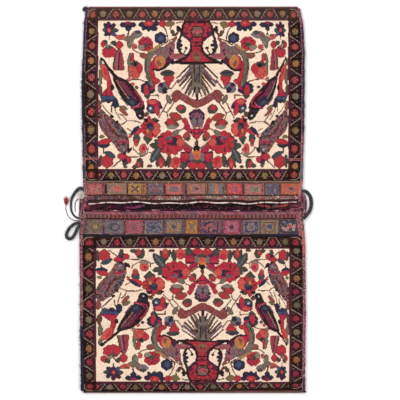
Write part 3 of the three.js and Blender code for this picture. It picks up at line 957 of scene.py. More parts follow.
def weave_border(along, across, width, spacing, tones):
    """A meandering vine. along and width are in mm, and across runs from 0 beside the field to 1 outside."""
    pitch = spacing[1]
    phase = rosette_phase(along, *spacing)
    number = np.round(phase).astype(int)
    near = np.abs((phase + 1) % 2 - 1)
    up = across * width
    low, high = 0.16 * width, 0.9 * width
    local = Cloth(near * pitch, up, BORDER_GROUND)
    local.fill(slow_noise(along, up, 30, 35) > 0.3, BORDER_INK)
    turn, dip = 0.26 * pitch, 0.7 * pitch
    local.shape(tones["warm"], (-1, -1), (-1, high), (turn, high), (dip, low), (dip, -1))
    local.strokes((BROWN, 1.8, (-2, high), (turn, high)), (BROWN, 1.8, (dip, low), (1.1 * pitch, low)),
                  (VINE, 2.0, (turn, high), (dip, low)))
    local.ovals((NAVY, 0.5 * pitch, 0.16 * width, 3.4, 2.8), (PLUM, 0.36 * pitch, 0.2 * width, 2.6, 2.4),
                (GREY, 0.4 * pitch, 0.34 * width, 1.4, 1.3), (GREY, 0.66 * pitch, 0.66 * width, 1.4, 1.3))
    rgb = local.rgb
    offset = (phase - number) * pitch
    for parity, choices, middle in ((0, tones["reds"], 0.48), (1, tones["golds"], 0.54)):
        for k, (petals, heart) in enumerate(choices):
            mine = (number % 2 == parity) & ((number // 2) % len(choices) == k)
            drawn = Cloth(offset, up, BORDER_GROUND)
            drawn.rgb = rgb.copy()
            weave_rosette(drawn, 0, middle * width, petals, heart)
            rgb[mine] = drawn.rgb[mine]
    rgb[across < 0.17] = GUARD * 0.8
    rgb[across < 0.05] = GUARD
    rgb[across > 0.95] = BORDER_INK
    return rgb


def weave_rosette(c, u, v, petals, heart):
    c.oval(BORDER_GROUND, u, v, ROSETTE + 1.6, ROSETTE + 1.4)
    head = c.bloom(petals, u, v, ROSETTE, ROSETTE - 0.4, 8, heart)
    c.fleck(head, [petals, heart, petals * 0.7, petals], 2.2, 19)
    for turn in range(4):
        angle = math.radians(45 + 90 * turn)
        c.oval(heart, u + 5.6 * math.cos(angle), v + 5.6 * math.sin(angle), 1.5, 1.5)
    c.oval(petals * 1.2, u, v, 4.0, 3.8)
    c.oval(heart, u, v, 2.0, 2.0)


def weave_corner(beside, beyond, width, tones):
    """The corner of a border, with its rosette and the vine bent round it."""
    c = Cloth(beside * width, beyond * width, BORDER_GROUND)
    c.stroke(BROWN, 1.8, (0.1 * width, 0.88 * width), (0.3 * width, 0.93 * width))
    near, bend, far = 0.3 * width, 0.66 * width, 0.92 * width
    c.stroke(VINE, 2.2, (near, far), (bend, far), (far, bend), (far, near))
    weave_rosette(c, 0.5 * width, 0.5 * width, *tones["reds"][0])
    c.fill(np.maximum(beside, beyond) > 0.95, BORDER_INK)
    return c.rgb


# Odd lines of wool across the side borders: y, half its width, colour
ODD_LINES = [(110, 1.6, SALMON), (106, 1.1, ROSE)]
STRAY_WOOLS = [CORAL, MAROON, PLUM, OLIVE, PINK, BLACK, TAN]
PEACH_CAST = np.array([0.0, -0.02, -0.05])

# The size of a knot, how many of them a cell of the underside spans, and how the edges round off
KNOT = 2.0
COARSE = 4
EDGE_DROP, EDGE_WIDTH = 2.6, 5.0


def pile_end(pouch, x):
    """Where the pile stops at the closed end; the lower pouch shows more bare end towards its right."""
    p = POUCHES[pouch]
    return p["pile_end"] + (8.0 * ease((x + 60) / 330) if pouch == "lower" else 0.0)


def lay_borders(pouch, rgb, x, y, warp_x, warp_y):
    """The four strips of a border and its corners. warp_x and warp_y are x and y with the weaver's drift."""
    field, p, tones = FIELDS[pouch], POUCHES[pouch], BORDERS[pouch]
    left = (field["left"] - x) / (field["left"] - left_x(y) - STRIP_INSET)
    right = (x - field["right"]) / (right_x(y) - STRIP_INSET - field["right"])
    end = (y - field["foot"]) / (pile_end(pouch, x) - field["foot"])
    mouth = (y - field["head"]) / (p["pile"] - field["head"])
    wavy_x, wavy_y = warp_x - 0.4, np.abs(y - field["foot"]) + warp_y - y
    for key, across, along in (("end", end, wavy_x), ("mouth", mouth, wavy_x),
                               ("left", left, wavy_y), ("right", right, wavy_y)):
        mine = across > 0
        rgb[mine] = weave_border(along, across, STRIP_WIDTHS[key], SPACING[pouch, key], tones)[mine]
    for side in (left, right):
        for strip in (end, mouth):
            mine = (side > 0) & (strip > 0)
            rgb[mine] = weave_corner(side, strip, STRIP_WIDTHS["end"], tones)[mine]
    if pouch == "upper":
        # light has faded the strip along the upper end
        faded = end > 0
        rgb[faded] = rgb[faded] * 0.9 + TAN * 0.07
        # pale lines of other wool run across both side borders
        sides = (left > 0) | (right > 0)
        for middle, half, colour in ODD_LINES:
            rgb[sides & (np.abs(y - middle - 2 * (x < 0)) < half)] = colour


def aged(rgb, x, y, seed):
    """Strays of other wool in the knots, brown dust, a peach cast, and slow changes of dye."""
    drawn = np.abs(rgb - IVORY).sum(-1) > 1e-6
    rng = np.random.default_rng(seed + 60)
    amount = np.clip(rng.normal(0.06, 0.1, x.shape) + 0.07 * slow_noise(x, y, 9, 36), 0, 0.34)
    strays = np.array(STRAY_WOOLS)[rng.integers(0, len(STRAY_WOOLS), x.shape)]
    amount = (amount * drawn * np.clip(rgb.sum(-1) / 0.25, 0.3, 1))[..., None]
    rgb = rgb * (1 - amount) + strays * amount
    dusk = (np.clip(0.06 + 0.16 * slow_noise(x, y, 15, 33), 0, 0.3) * drawn)[..., None]
    rgb = rgb * (1 - dusk) + BROWN * dusk
    peach = 0.5 + 0.5 * slow_noise(x, y, 120, 34)[..., None]
    rgb = rgb * (1 + PEACH_CAST * peach)
    abrash = 1 + 0.05 * slow_noise(0 * x, y, 40, 31)[..., None]
    return mottle(rgb * abrash, 0.09, seed)


def weave_pile(pouch, x, y):
    """Every knot's colour in a pouch's pile face."""
    warp_x = x + 1.3 * slow_noise(x, y, 90, 21) + 0.5 * slow_noise(x, y, 22, 22)
    warp_y = y + 1.3 * slow_noise(x, y, 90, 23) + 0.5 * slow_noise(x, y, 22, 24)
    garden = Cloth(*garden_places(pouch, warp_x, warp_y), IVORY)
    weave_garden(garden)
    lay_borders(pouch, garden.rgb, x, y, warp_x, warp_y)
    return aged(garden.rgb, x, y, POUCHES[pouch]["seed"])


def pile_face(pouch):
    """The knotted front of a pouch, a knot to each cell."""
    p = POUCHES[pouch]
    rows = round(abs(p["pile_end"] - p["pile"]) / KNOT / COARSE) * COARSE + 1
    y_line = np.linspace(*sorted((p["pile"], p["pile_end"])), rows)
    across, y = sheet_grid(y_line, round(CELLS_WIDTH / KNOT) + 1)
    x = place_x(across, y)
    y = p["pile"] + (y - p["pile"]) * (pile_end(pouch, x) - p["pile"]) / (p["pile_end"] - p["pile"])
    height = under_height(pouch, across, x, y)
    rng = np.random.default_rng(p["seed"])
    from_side = (1 - np.abs(across)) * (right_x(y) - left_x(y)) / 2
    from_end = np.abs(y - pile_end(pouch, x))
    rounding = EDGE_DROP * (1 - np.clip(np.minimum(from_side, from_end) / EDGE_WIDTH, 0, 1)) ** 2
    nap = rng.normal(0, 0.28, x.shape) + 0.3 * slow_noise(x, y, 14, p["seed"] + 5)
    top = np.stack([x, y, height + PILE_THICKNESS - rounding + nap], -1)
    under = np.stack([x, y, height], -1)[::COARSE, ::COARSE]
    tint = weave_pile(pouch, middles(x), middles(y))
    return pile_sheet(f"{pouch}_pile_face", top, under, COARSE, tint)


# ---------------------------------------------------------------- closing bands

BAND_CELL = 1.25
BAND_STRENGTH = 1.12
DIVIDER = linear("6A444A")
UPPER_RIBS = linear("9A6C62")
LOWER_RIBS = linear("6A4E58")
INDIGO = linear("54506C")
BRAID_ROSE = linear("844A54")
LINE_DARK = linear("33231F")
PALE_BRAID = [TAN, SALMON, CREAM * 0.8, CORAL, ROSE, TAN]
DIM_BRAID = [BROWN, MAUVE, ROSE, DIVIDER, RUST, TAN]
ROSE_BRAID = [BRAID_ROSE, ROSE, MAUVE, linear("8C4A5C"), linear("B06A74")]
# y of the lower and upper edges of each row of squares, and the width of the rose edging at the right
UPPER_ROW, LOWER_ROW = (14.6, 44.0), (-91.0, -55.0)
EDGING_WIDTH = 17.0

# Slits in the upper band as (x, width), which the closing loops pass through
SLITS = [(-235, 4.2), *((x, 1.6) for x in (-176, -132, -77, -20, 33, 81, 135, 186, 233))]
SLIT_TOP, SLIT_BOTTOM = 40.0, 17.0

# The squares of each band: left, right, ground, frame, motif, heart and the kind of motif
UPPER_SQUARES = [
    (-286, -243, SALMON, CRIMSON, ROSE, SAGE, "stripes"),
    (-230, -179, STEEL, GOLD, SALMON, CORAL, "block"),
    (-175, -136, GOLD, GOLD, SOOT, BROWN, "cross"),
    (-136, -126, RED, GOLD, BRICK, GOLD, "dots"),
    (-121, -82, INDIGO, STEEL, BRICK, MAUVE, "dots"),
    (-73, -29, SALMON, CORAL, STEEL, MAUVE, "block"),
    (-16, 37, SALMON, OLIVE, GREY, SOOT, "cross"),
    (41, 85, STEEL, LEAF, ORANGE, SALMON, "column"),
    (90, 132, CORAL, RED, PINK, MAUVE, "dots"),
    (139, 190, SALMON, ROSE, SAGE, LEAF, "block"),
    (194, 234, BLUE, STEEL, TEAL, INDIGO, "stripes"),
    (237, 291, CORAL, ORANGE, STEEL, NAVY, "cross"),
]
LOWER_SQUARES = [
    (-285, -243, OLIVE, MAUVE, LEAF, GOLD, "block"),
    (-238, -186, GREY, MAUVE, TEAL, STEEL, "block"),
    (-179, -136, ROSE, CORAL, STEEL, MAUVE, "rings"),
    (-130, -82, BLUE, TAN, STEEL, TEAL, "dots"),
    (-74, -29, SAGE, LEAF, ORANGE, TEAL, "dots"),
    (-19, 12, GOLD, ORANGE, OLIVE, STEEL, "cross"),
    (21, 74, NAVY, ROSE, CORAL, STEEL, "blossoms"),
    (82, 125, PINK, RED, SAGE, MAROON, "dots"),
    (134, 179, BLUE, TAN, NAVY, STEEL, "rings"),
    (182, 229, OLIVE, TAN, BROWN, BLUE, "rings"),
    (233, 285, TEAL, NAVY, PINK, CREAM, "zigzag"),
]


def line_wave(x, seed, size=2.0):
    """How far a woven line strays from straight."""
    return size * (0.6 * np.sin(x / 41 + seed) + 0.4 * np.sin(x / 17 + 2.3 * seed))


def weave_square(c, square, low, high):
    left, right, ground, edge, motif, heart, kind = square
    u, v = (left + right) / 2, (low + high) / 2
    half_u, half_v = (right - left) / 2, (high - low) / 2
    from_u, from_v = np.abs(c.u - u), np.abs(c.v - v)
    for side in (left - 1.4, right + 1.4):
        c.stroke(MAROON, 1.8, (side, low), (side, high))
    everything = c.box(edge, left, right, low, high)
    ground_wools = [ground, ground * 1.25, ground * 0.8, ground, ground, edge]
    c.fleck(c.box(ground, left + 4, right - 4, low + 3, high - 3), ground_wools, 2.6, 57)
    dotted = (np.floor(c.u / 2.6) + np.floor(c.v / 2.6)) % 2 == 0
    ring = (from_u < half_u) & (from_v < half_v) & ((from_u > half_u - 3.2) | (from_v > half_v - 2.6))
    c.fill(ring & dotted, ground * 0.55 + edge * 0.1)
    if kind == "stripes":
        for k in range(5):
            place = left + 7 + k * (right - left - 14) / 4
            c.stroke((motif, heart)[k % 2], 3.4, (place, low + 5), (place, high - 5))
    elif kind == "column":
        for k in range(4):
            c.oval((motif, heart)[k % 2], u, low + 5 + k * (high - low - 10) / 3, 5.5, 3.4)
    elif kind == "cross":
        for slope in (1, -1):
            reach = half_u * 0.45 * slope
            c.stroke(motif, 4, (u - reach, low + 7), (u + reach, high - 7))
        c.oval(heart, u, v, 4.5, 3.6)
    elif kind == "block":
        c.oval(motif, u, v, half_u * 0.62, half_v * 0.62)
        c.oval(heart, u + 2, v, half_u * 0.32, half_v * 0.36)
    elif kind == "rings":
        for level in range(-2, 3):
            c.stroke(motif, 1.8, (left + 7, v + level * 6), (right - 7, v + level * 6))
        c.oval(edge, u, v, half_u * 0.46, half_v * 0.56)
        c.oval(heart, u, v, half_u * 0.32, half_v * 0.42)
    elif kind == "dots":
        speck = (np.floor(c.u / 4.2) + np.floor(c.v / 5)) % 3 == 0
        c.fill((from_u < half_u - 6) & (from_v < half_v - 5) & speck, motif)
        c.oval(heart, u, v, half_u * 0.26, half_v * 0.3)
    elif kind == "blossoms":
        for du, dv in ((0, 7), (-12, -3), (12, -3), (0, -9), (-6, 3), (6, 3)):
            c.bloom(motif, u + du, v + dv, 5, 4, 4, heart)
    elif kind == "zigzag":
        points = [(left + 8, v - 2), (u - 8, v - 9), (u + 3, v + 6), (u + 12, v - 8), (right - 12, v + 4)]
        c.stroke(heart, 5.5, *points)
        c.stroke(motif, 3, *points)
        c.oval(CORAL, u + 1, v + 2, 5, 5)
    # the dyes of the bands are strong ones
    grey = c.rgb[everything].mean(-1, keepdims=True)
    c.rgb[everything] = np.clip(grey + (c.rgb[everything] - grey) * BAND_STRENGTH, 0, 1)


def ribbed(rgb, ribs, share, seed):
    """The wefts of the ground that show between the coloured ones, and odd stitches of other wool."""
    rng = np.random.default_rng(seed)
    mix = np.clip(share + rng.normal(0, 0.13, rgb.shape[:2]), 0, 0.9)
    mix[:, ::2] += 0.08
    rgb = rgb * (1 - mix[..., None]) + ribs * mix[..., None]
    odd = rng.random(rgb.shape[:2]) < 0.10
    rgb[odd] = np.array([CREAM, TAN, MAROON, SOOT, ROSE, STEEL])[rng.integers(0, 6, odd.sum())] * 0.9
    return rgb


def stitch_row(u, v, pitch, slant, middle, half):
    """One row of slanted stitches: which stitch a place is in, and how high the yarn stands there."""
    turn = (u + slant * (v - middle)) / pitch
    number = np.floor(turn).astype(int)
    across = 2 * (turn - number) - 1
    down = (v - middle) / half
    return number, np.sqrt(np.clip(1 - across**2, 0, 1)) * np.sqrt(np.clip(1 - down**2, 0, 1))


def lay_row(c, relief, row, height, colours, dip, shade, rise):
    """Paint one row of stitches, with painted shade where the yarn dips, and give the relief with that row
    in it.
    """
    c.rgb[row] = colours[row]
    # painted shade in the dips between stitches
    c.rgb[row & (height < dip)] *= shade
    return np.maximum(relief, rise * height * row)


def weave_upper_band(x, y):
    c = Cloth(x, y - line_wave(x, 0.4, 0.8), DIVIDER)
    c.row(TAN, 47.4, 60)
    c.row(LINE_DARK, 44.6, 47.6)
    for square in UPPER_SQUARES:
        weave_square(c, square, *UPPER_ROW)
    c.box(TEAL, -121, -84, 14.6, 19.5)
    c.rgb = ribbed(c.rgb, UPPER_RIBS, 0.2, 51)
    c.row(LINE_DARK, 10.6, 14.0)
    relief = np.zeros(x.shape)
    bright = (slow_noise(x, 0 * y, 130, 61) + (x + 110) / 140 > 0)[..., None]
    for middle, slant, seed in ((7.8, 0.9, 5), (2.9, -0.9, 9)):
        number, height = stitch_row(x, c.v, 3.4, slant, middle, 2.8)
        colours = np.where(bright, choose(number, PALE_BRAID, seed), choose(number, DIM_BRAID, seed))
        colours[number % 2 == 0] *= 0.42
        relief = lay_row(c, relief, np.abs(c.v - middle) < 2.6, height, colours, 0.4, 0.5, 1.5)
    c.row(LINE_DARK, -3.4, 0.4)
    c.fill(c.v < -3.4, MAROON)
    return mottle(c.rgb, 0.13, 71), relief


def weave_lower_band(x, y):
    c = Cloth(x, y - line_wave(x, 1.9, 0.7), DIVIDER)
    c.row(BRAID_ROSE, -52, -20)
    number, height = stitch_row(x, c.v, 3.6, 1.2, -35.5, 4.4)
    row = np.abs(c.v + 35.5) < 4.2
    relief = lay_row(c, np.zeros(x.shape), row, height, choose(number, ROSE_BRAID, 6), 0.4, 0.6, 1.1)
    change = (slow_noise(x, 0 * y, 90, 63) > 0.1)[..., None]
    for middle, slant in ((-42.0, 0.8), (-46.0, -0.8)):
        number, height = stitch_row(x, c.v, 2.7, slant, middle, 2.5)
        cool = np.array([TAN, MAROON, BRAID_ROSE, MAROON])[number % 4]
        warm = np.array([SALMON, MAROON, BRICK, SOOT])[number % 4]
        row = np.abs(c.v - middle) < 2.1
        relief = lay_row(c, relief, row, height, np.where(change, cool, warm), 0.35, 0.6, 1.6)
    c.row(LINE_DARK, -52.8, -49.4)
    for square in LOWER_SQUARES:
        weave_square(c, square, *LOWER_ROW)
    squares = (c.v < -53)[..., None]
    c.rgb = np.where(squares, ribbed(c.rgb, LOWER_RIBS, 0.22, 52), c.rgb)
    c.stroke(TAN, 1.6, (-286, -90.6), (-245, -91.4))
    c.row(SOOT, -100, -92.6)
    c.fill((c.v < -92.6) & (slow_noise(x, 3 * y, 40, 53) > 0.2), NAVY)
    edging = c.fill((x > right_x(y) - EDGING_WIDTH) & (y > -98), ROSE)
    c.fleck(edging, [ROSE, SALMON, MAUVE, ROSE, BRICK, TAN], 2.6, 58)
    return mottle(c.rgb, 0.13, 72), relief


# How far the band runs under the pile, how deep the lip's sway reaches, and how the lip curls up
BAND_OVERLAP = 1.5
LIP_SWAY = 12.0
LIP_CURL, CURL_WIDTH = 1.2, 7.0


def lip_wave(pouch, x):
    """How far a pouch's lip hangs out of line along the mouth."""
    if pouch == "upper":
        return 1.5 * np.sin(x / 33 + 0.5) + 1.3 * np.sin(x / 13.5) + 0.5
    return 1.0 * np.sin(x / 60 + 2) + 0.5 * np.sin(x / 21)


def closing_band(pouch):
    """The flatwoven band at a pouch's mouth, with its slits and its raised braid."""
    p = POUCHES[pouch]
    low, high = sorted((p["lip"], p["pile"] + BAND_OVERLAP * p["sign"]))
    y_line = np.linspace(low, high, round((high - low) / BAND_CELL) + 1)
    across, straight_y = sheet_grid(y_line, round(CELLS_WIDTH / BAND_CELL) + 1)
    from_lip = (straight_y - p["lip"]) * p["sign"]
    x = place_x(across, straight_y)
    y = straight_y + lip_wave(pouch, x) * (1 - ease(from_lip / LIP_SWAY))
    height = under_height(pouch, across, x, straight_y)
    middle_x, middle_y = middles(x), middles(straight_y)
    paint = {"upper": weave_upper_band, "lower": weave_lower_band}[pouch]
    tint, relief = paint(middle_x, middle_y)
    raised = np.pad(relief, ((1, 0), (1, 0)), mode="edge")
    curl = LIP_CURL * (1 - ease(from_lip / CURL_WIDTH)) * (1 - np.abs(across))
    rng = np.random.default_rng(p["seed"] + 40)
    top_z = height + FLATWEAVE_THICKNESS + raised + curl + rng.normal(0, 0.09, x.shape)
    keep = np.ones(middle_x.shape, bool)
    if pouch == "upper":
        for place, width in SLITS:
            along = (middle_y > SLIT_BOTTOM) & (middle_y < SLIT_TOP)
            keep &= ~(along & (np.abs(middle_x - place) < width / 2))
    top = np.stack([x, y, top_z], -1)
    under = np.stack([x, y, height + curl * 0.6], -1)
    return slit_sheet(f"{pouch}_closing_band", top, under, keep, tint, MAROON)


# ---------------------------------------------------------------- the plain backs and the bridge

BACK_CELL = 4.0
BRIDGE_CELL = 2.4
# How far in from the fold the back is tucked under the pile
TUCK = (5.0, 7.0)
BACK_STRIPES = [(MAROON, 26), (LINE_DARK, 4), (BROWN, 18), (NAVY, 10), (BROWN, 18), (LINE_DARK, 4),
                (BRICK, 22), (TAN, 3), (PLUM, 14), (TAN, 3)]


def weave_back(along, seed):
    """Stripes across the plain back, by distance along it."""
    edges = np.cumsum([width for _, width in BACK_STRIPES])
    which = np.searchsorted(edges, np.mod(along, edges[-1]), side="right")
    colours = np.array([colour for colour, _ in BACK_STRIPES])
    return mottle(colours[which], 0.12, seed)


def back_sheet(pouch):
    """Half of the back, from the bridge to the end fold and round it."""
    p = POUCHES[pouch]
    sign, end, start = p["sign"], p["end"], p["start"]
    radius = (BACK_THICKNESS + SEAM_GAP + FLATWEAVE_THICKNESS) / 2
    inner = SEAM_GAP / 2
    flat = np.linspace(start, end - sign * (radius + 0.5), round(abs(end - start) / BACK_CELL))
    turns = np.radians(np.arange(-90, 91, 15))
    tuck = end - sign * np.array(TUCK)
    outer_y = np.concatenate([flat, end - sign * radius * (1 - np.cos(turns)), tuck])
    outer_z = np.concatenate([0 * flat, radius * (1 + np.sin(turns)), [2 * radius - 0.1] * 2])
    inner_y = np.concatenate([flat, end - sign * (radius - inner * np.cos(turns)), tuck])
    inner_z = np.concatenate([0 * flat, inner * (1 + np.sin(turns)), [2 * inner] * 2]) + BACK_THICKNESS
    cols = round(CELLS_WIDTH / BACK_CELL) + 1
    sides = []
    for y_line, z_line in ((inner_y, inner_z), (outer_y, outer_z)):
        across, y = sheet_grid(y_line, cols)
        sides.append(np.stack([place_x(across, y), y, z_line[:, None] + 0 * y], -1))
    tint = weave_back(np.abs(np.tile(outer_y[:-1, None], (1, cols - 1))), p["seed"] + 50)
    fold = slice(len(flat) - 1, len(outer_y) - 1)
    shade = slow_noise(np.arange(cols - 1) * BACK_CELL, 0, 50, p["seed"])[None, :, None]
    fold_tint = np.where(shade > 0, BROWN * 1.1, BRAID_ROSE * 0.8)
    tint[fold] = mottle(np.broadcast_to(fold_tint, tint[fold].shape), 0.1, 4)
    if sign < 0:
        sides, tint = [side[::-1] for side in sides], tint[::-1]
    return slit_sheet(f"{pouch}_back", *sides, np.ones(tint.shape[:2], bool), tint, tint)


# The middle lines of the overcast edges of the bridge, as (x, y), and their height
BRIDGE_EDGES = {
    "left": [(-291, 22), (-295.5, 14), (-299.5, 6), (-301.8, -6), (-302.6, -20), (-303.2, -32),
             (-303.6, -42), (-302.5, -50)],
    "right": [(290, 22), (295, 15), (299.5, 8), (302, -3), (302.8, -13), (301.5, -25), (299.5, -36),
              (297, -46)],
}
BRIDGE_EDGE_HEIGHT = 3.1


def bridge_edge(side, y):
    route = np.array(BRIDGE_EDGES[side])[::-1]
    return np.interp(y, route[:, 1], route[:, 0])


def bridge_sheet():
    """The single layer between the pouches, rucked where it shows between the lips; its near-black ground is
    partly its own dark wool and partly painted shade of the narrow gap.
    """
    y_line = np.linspace(BRIDGE_BOTTOM, BRIDGE_TOP, round((BRIDGE_TOP - BRIDGE_BOTTOM) / BRIDGE_CELL) + 1)
    across, y = sheet_grid(y_line, round(CELLS_WIDTH / BRIDGE_CELL) + 1)
    left, right = bridge_edge("left", y), bridge_edge("right", y)
    x = (left + right) / 2 + across * (right - left) / 2
    middle = np.exp(-((y + 19) / 11) ** 2)
    ruck = middle * (2.0 + 1.3 * slow_noise(x * 0.5, y * 2.2, 34, 77)) * ease((1 - np.abs(across)) / 0.08)
    top = np.stack([x, y, BACK_THICKNESS + np.clip(ruck, 0, 4.5)], -1)
    under = np.stack([x, y, 0 * x], -1)
    mx, my = middles(x), middles(y)
    # near-black ground: dark wool, and also painted shade of the gap under the lips; the patches below are
    # the wool's own colours
    c = Cloth(mx, my + 0.12 * mx, BLACK)
    c.fill(slow_noise(mx, my * 4, 60, 78) > 0.45, WINE)
    c.fill(slow_noise(mx, my * 5, 26, 79) > 0.95, SOOT)
    c.u, c.v = mx, my
    for low, high, colour in ((-310, -278, BRICK * 0.7), (-278, -220, MAROON), (-220, -170, WINE),
                              (255, 285, MAROON), (285, 310, BRICK * 0.7)):
        c.fill((mx > low) & (mx < high) & (slow_noise(mx, my * 3, 40, 80) > -0.3), colour)
    c.stroke(linear("7C2C5C"), (3, 7), (-186, -20), (-160, -22), (-142, -17))
    c.stroke(PINK * 0.6, 3, (-160, -23), (-146, -19))
    for start, end, colour in (((170, -14), (206, -19), CORAL), ((198, -24), (226, -14), MAUVE),
                               ((222, -19), (252, -14), CORAL), ((236, -25), (270, -19), MAROON),
                               ((262, -15), (292, -17), RUST), ((258, -26), (290, -24), ROSE)):
        c.stroke(colour * 0.8, (2, 6), start, end)
    c.fleck(np.abs(mx) > 288, [ROSE, MAROON, MAUVE, BRICK, SOOT], 3, 81)
    speck = np.random.default_rng(82).random(mx.shape)
    c.rgb[speck < 0.16] = MAROON
    c.rgb[speck < 0.05] = ROSE * 0.6
    return slit_sheet("bridge", top, under, np.ones(mx.shape, bool), mottle(c.rgb, 0.2, 73), MAROON)


# ---------------------------------------------------------------- seams and whipped cords

# What each run of overcasting is made of: its turns of yarn, and the line along its outer side
SEAM_WOOLS = {
    "mauve": (wools("3E2A3C 54384C 2E2430 6A4A5C"), linear("A894A8")),
    "black": (wools("201A24 2C222E 16141A 3A2A38"), linear("342A38")),
    "rose": (wools("A0606E 7C4254 B87882 6E3A4A"), linear("C494A0")),
    "plum": (wools("5A2E48 44283E 74445C 3A2438"), linear("B890A0")),
    "grey": (wools("6E6670 86707C 565A5E 94707E"), linear("A08C96")),
    "salmon": (wools("C4706A B05C60 A0605C D08880"), linear("C87A74")),
    "navy": (wools("262A44 1C1E30 302A40 20242E"), linear("3C3850")),
    "mixed": (wools("8C4C5E B4707C 5C3044 C08C8C 74484C 8A6A60 4A3038"), linear("B48C8C")),
}
# How far across the cord that line lies
SEAM_EDGE = (0.5, 0.95)
WRAP_STEP, WRAP_PITCH, WRAP_SLANT, WRAP_DEPTH = 0.9, 2.7, 0.5, 0.16
# The runs of each seam's overcasting as (y where it starts, wool), its seed, and its frays
SEAMS = {
    "upper_left": ([(600, "mauve"), (345, "black"), (205, "mauve"), (118, "rose"), (92, "mauve"),
                    (60, "mixed")], 101,
                   [(190, 372, 190, "black"), (372, 500, 26, "mauve"), (70, 190, 30, "mauve")]),
    "upper_right": ([(600, "rose"), (470, "plum"), (330, "mauve"), (240, "plum"), (175, "rose"),
                     (107, "grey"), (50, "salmon"), (14, "mixed")], 102, [(120, 470, 30, "plum")]),
    "lower_left": ([(0, "mixed"), (-120, "rose"), (-230, "mixed"), (-338, "navy")], 103,
                   [(-512, -345, 120, "navy"), (-330, -60, 26, "rose")]),
    "lower_right": ([(0, "mixed"), (-80, "salmon"), (-150, "mixed"), (-300, "rose"), (-420, "mixed"),
                     (-480, "plum")], 104, [(-500, -60, 24, "rose")]),
}
BRIDGE_RUNS = [(50, "mixed"), (-8, "plum"), (-24, "mixed")]
BRIDGE_EDGE_HALVES = (4.2, 2.8)


def wrapped_cord(path, half_width, half_height, runs, outer, seed, sides=16):
    """A cord wrapped in yarn: ridges of one turn each. runs are (y where it starts, name of its wools)."""
    count = len(path)
    step = np.linalg.norm(path[1] - path[0])
    along = np.arange(count) * step
    angle = np.linspace(0, 2 * math.pi, sides, endpoint=False)
    phase = along[:, None] / WRAP_PITCH + WRAP_SLANT * np.cos(angle)[None, :]
    ridge = np.abs(np.sin(math.pi * phase))
    rng = np.random.default_rng(seed)
    wander = 1 + 0.10 * slow_noise(along, 0 * along, 37, seed)[:, None]
    sections = ring_sections(count, sides, half_width, half_height) * wander[..., None]
    halves = [half_width, half_height]
    flat = np.sign(sections) * np.abs(sections / halves) ** 0.75 * halves
    sections = flat * (1 - WRAP_DEPTH * (1 - ridge))[..., None]
    number = np.abs(np.floor(phase[:-1]).astype(int))
    place = outer * np.cos(angle + math.pi / sides)[None, :] + 0 * phase[:-1]
    ragged = path[:-1, 1] + 6 * slow_noise(along[:-1], 0 * along[:-1], 23, seed + 1)
    tint = np.zeros((count - 1, sides, 3))
    for start, name in runs:
        turns, line = SEAM_WOOLS[name]
        here = (ragged <= start)[:, None] & (place > -2)
        tint[here] = choose(number * 13 + np.floor(place * 1.6).astype(int) * 5 + 20, turns, seed + 2)[here]
        edge = here & (place > SEAM_EDGE[0]) & (place < SEAM_EDGE[1]) & (number * 7 % 5 > 1)
        tint[edge] = line
    # each turn's own random tone, and painted shade in the grooves between turns
    shade = rng.normal(1, 0.12, tint.shape[:2]) * (0.6 + 0.4 * ridge[:-1])
    return tube_parts(path, sections, np.clip(tint * shade[..., None], 0, 1))


def overcast_seam(place, runs, seed, frays):
    """Thick wool wrapped over both edges of a pouch; frays are (from y, to y, how many, wool)."""
    pouch, hand = place.split("_")
    side, edge = {"left": (-1, left_x), "right": (1, right_x)}[hand]
    y = np.arange(*POUCHES[pouch]["seam"], -WRAP_STEP)
    rough = slow_noise(y, 0 * y, 24, seed + 9) * 0.5
    x = edge(y) - side * (SEAM_WIDTH / 2 + 0.2) + rough
    height = BACK_THICKNESS + SEAM_GAP + PILE_THICKNESS
    path = np.stack([x, y, np.full(len(y), height / 2)], -1)
    parts = [wrapped_cord(path, SEAM_WIDTH / 2 + 0.3, height / 2 - 0.2, runs, side, seed)]
    rng = np.random.default_rng(seed + 50)
    first = len(parts[0][0])
    for low, high, count, wool in frays:
        at = rng.uniform(low, high, count)
        starts = np.stack([edge(at) - side * rng.uniform(0.5, 3, count), at, rng.uniform(4, 10, count)], -1)
        turn = rng.normal(0, 0.7, count)
        headings = np.stack([side * np.cos(turn), np.sin(turn), rng.normal(0, 0.25, count)], -1)
        lengths = rng.uniform(2, 5.5, count)
        parts.append(strands(starts, headings, lengths, 0.5, 2, SEAM_WOOLS[wool][0], seed, first))
        first += len(parts[-1][0])
    return new_piece(f"{place}_overcast", *merge_parts(parts), YARN, "seam_wool", [f"{place}_seam"])


def bridge_overcast(hand, outer, seed):
    """The overcasting along one edge of the bridge."""
    route = [(x, y, BRIDGE_EDGE_HEIGHT) for x, y in BRIDGE_EDGES[hand]]
    line, _ = smooth_path(route, WRAP_STEP)
    wrapped = wrapped_cord(line, *BRIDGE_EDGE_HALVES, BRIDGE_RUNS, outer, seed, 12)
    new_piece(f"bridge_{hand}_overcast", *wrapped, YARN, "seam_wool", [f"bridge_{hand}_edge"])


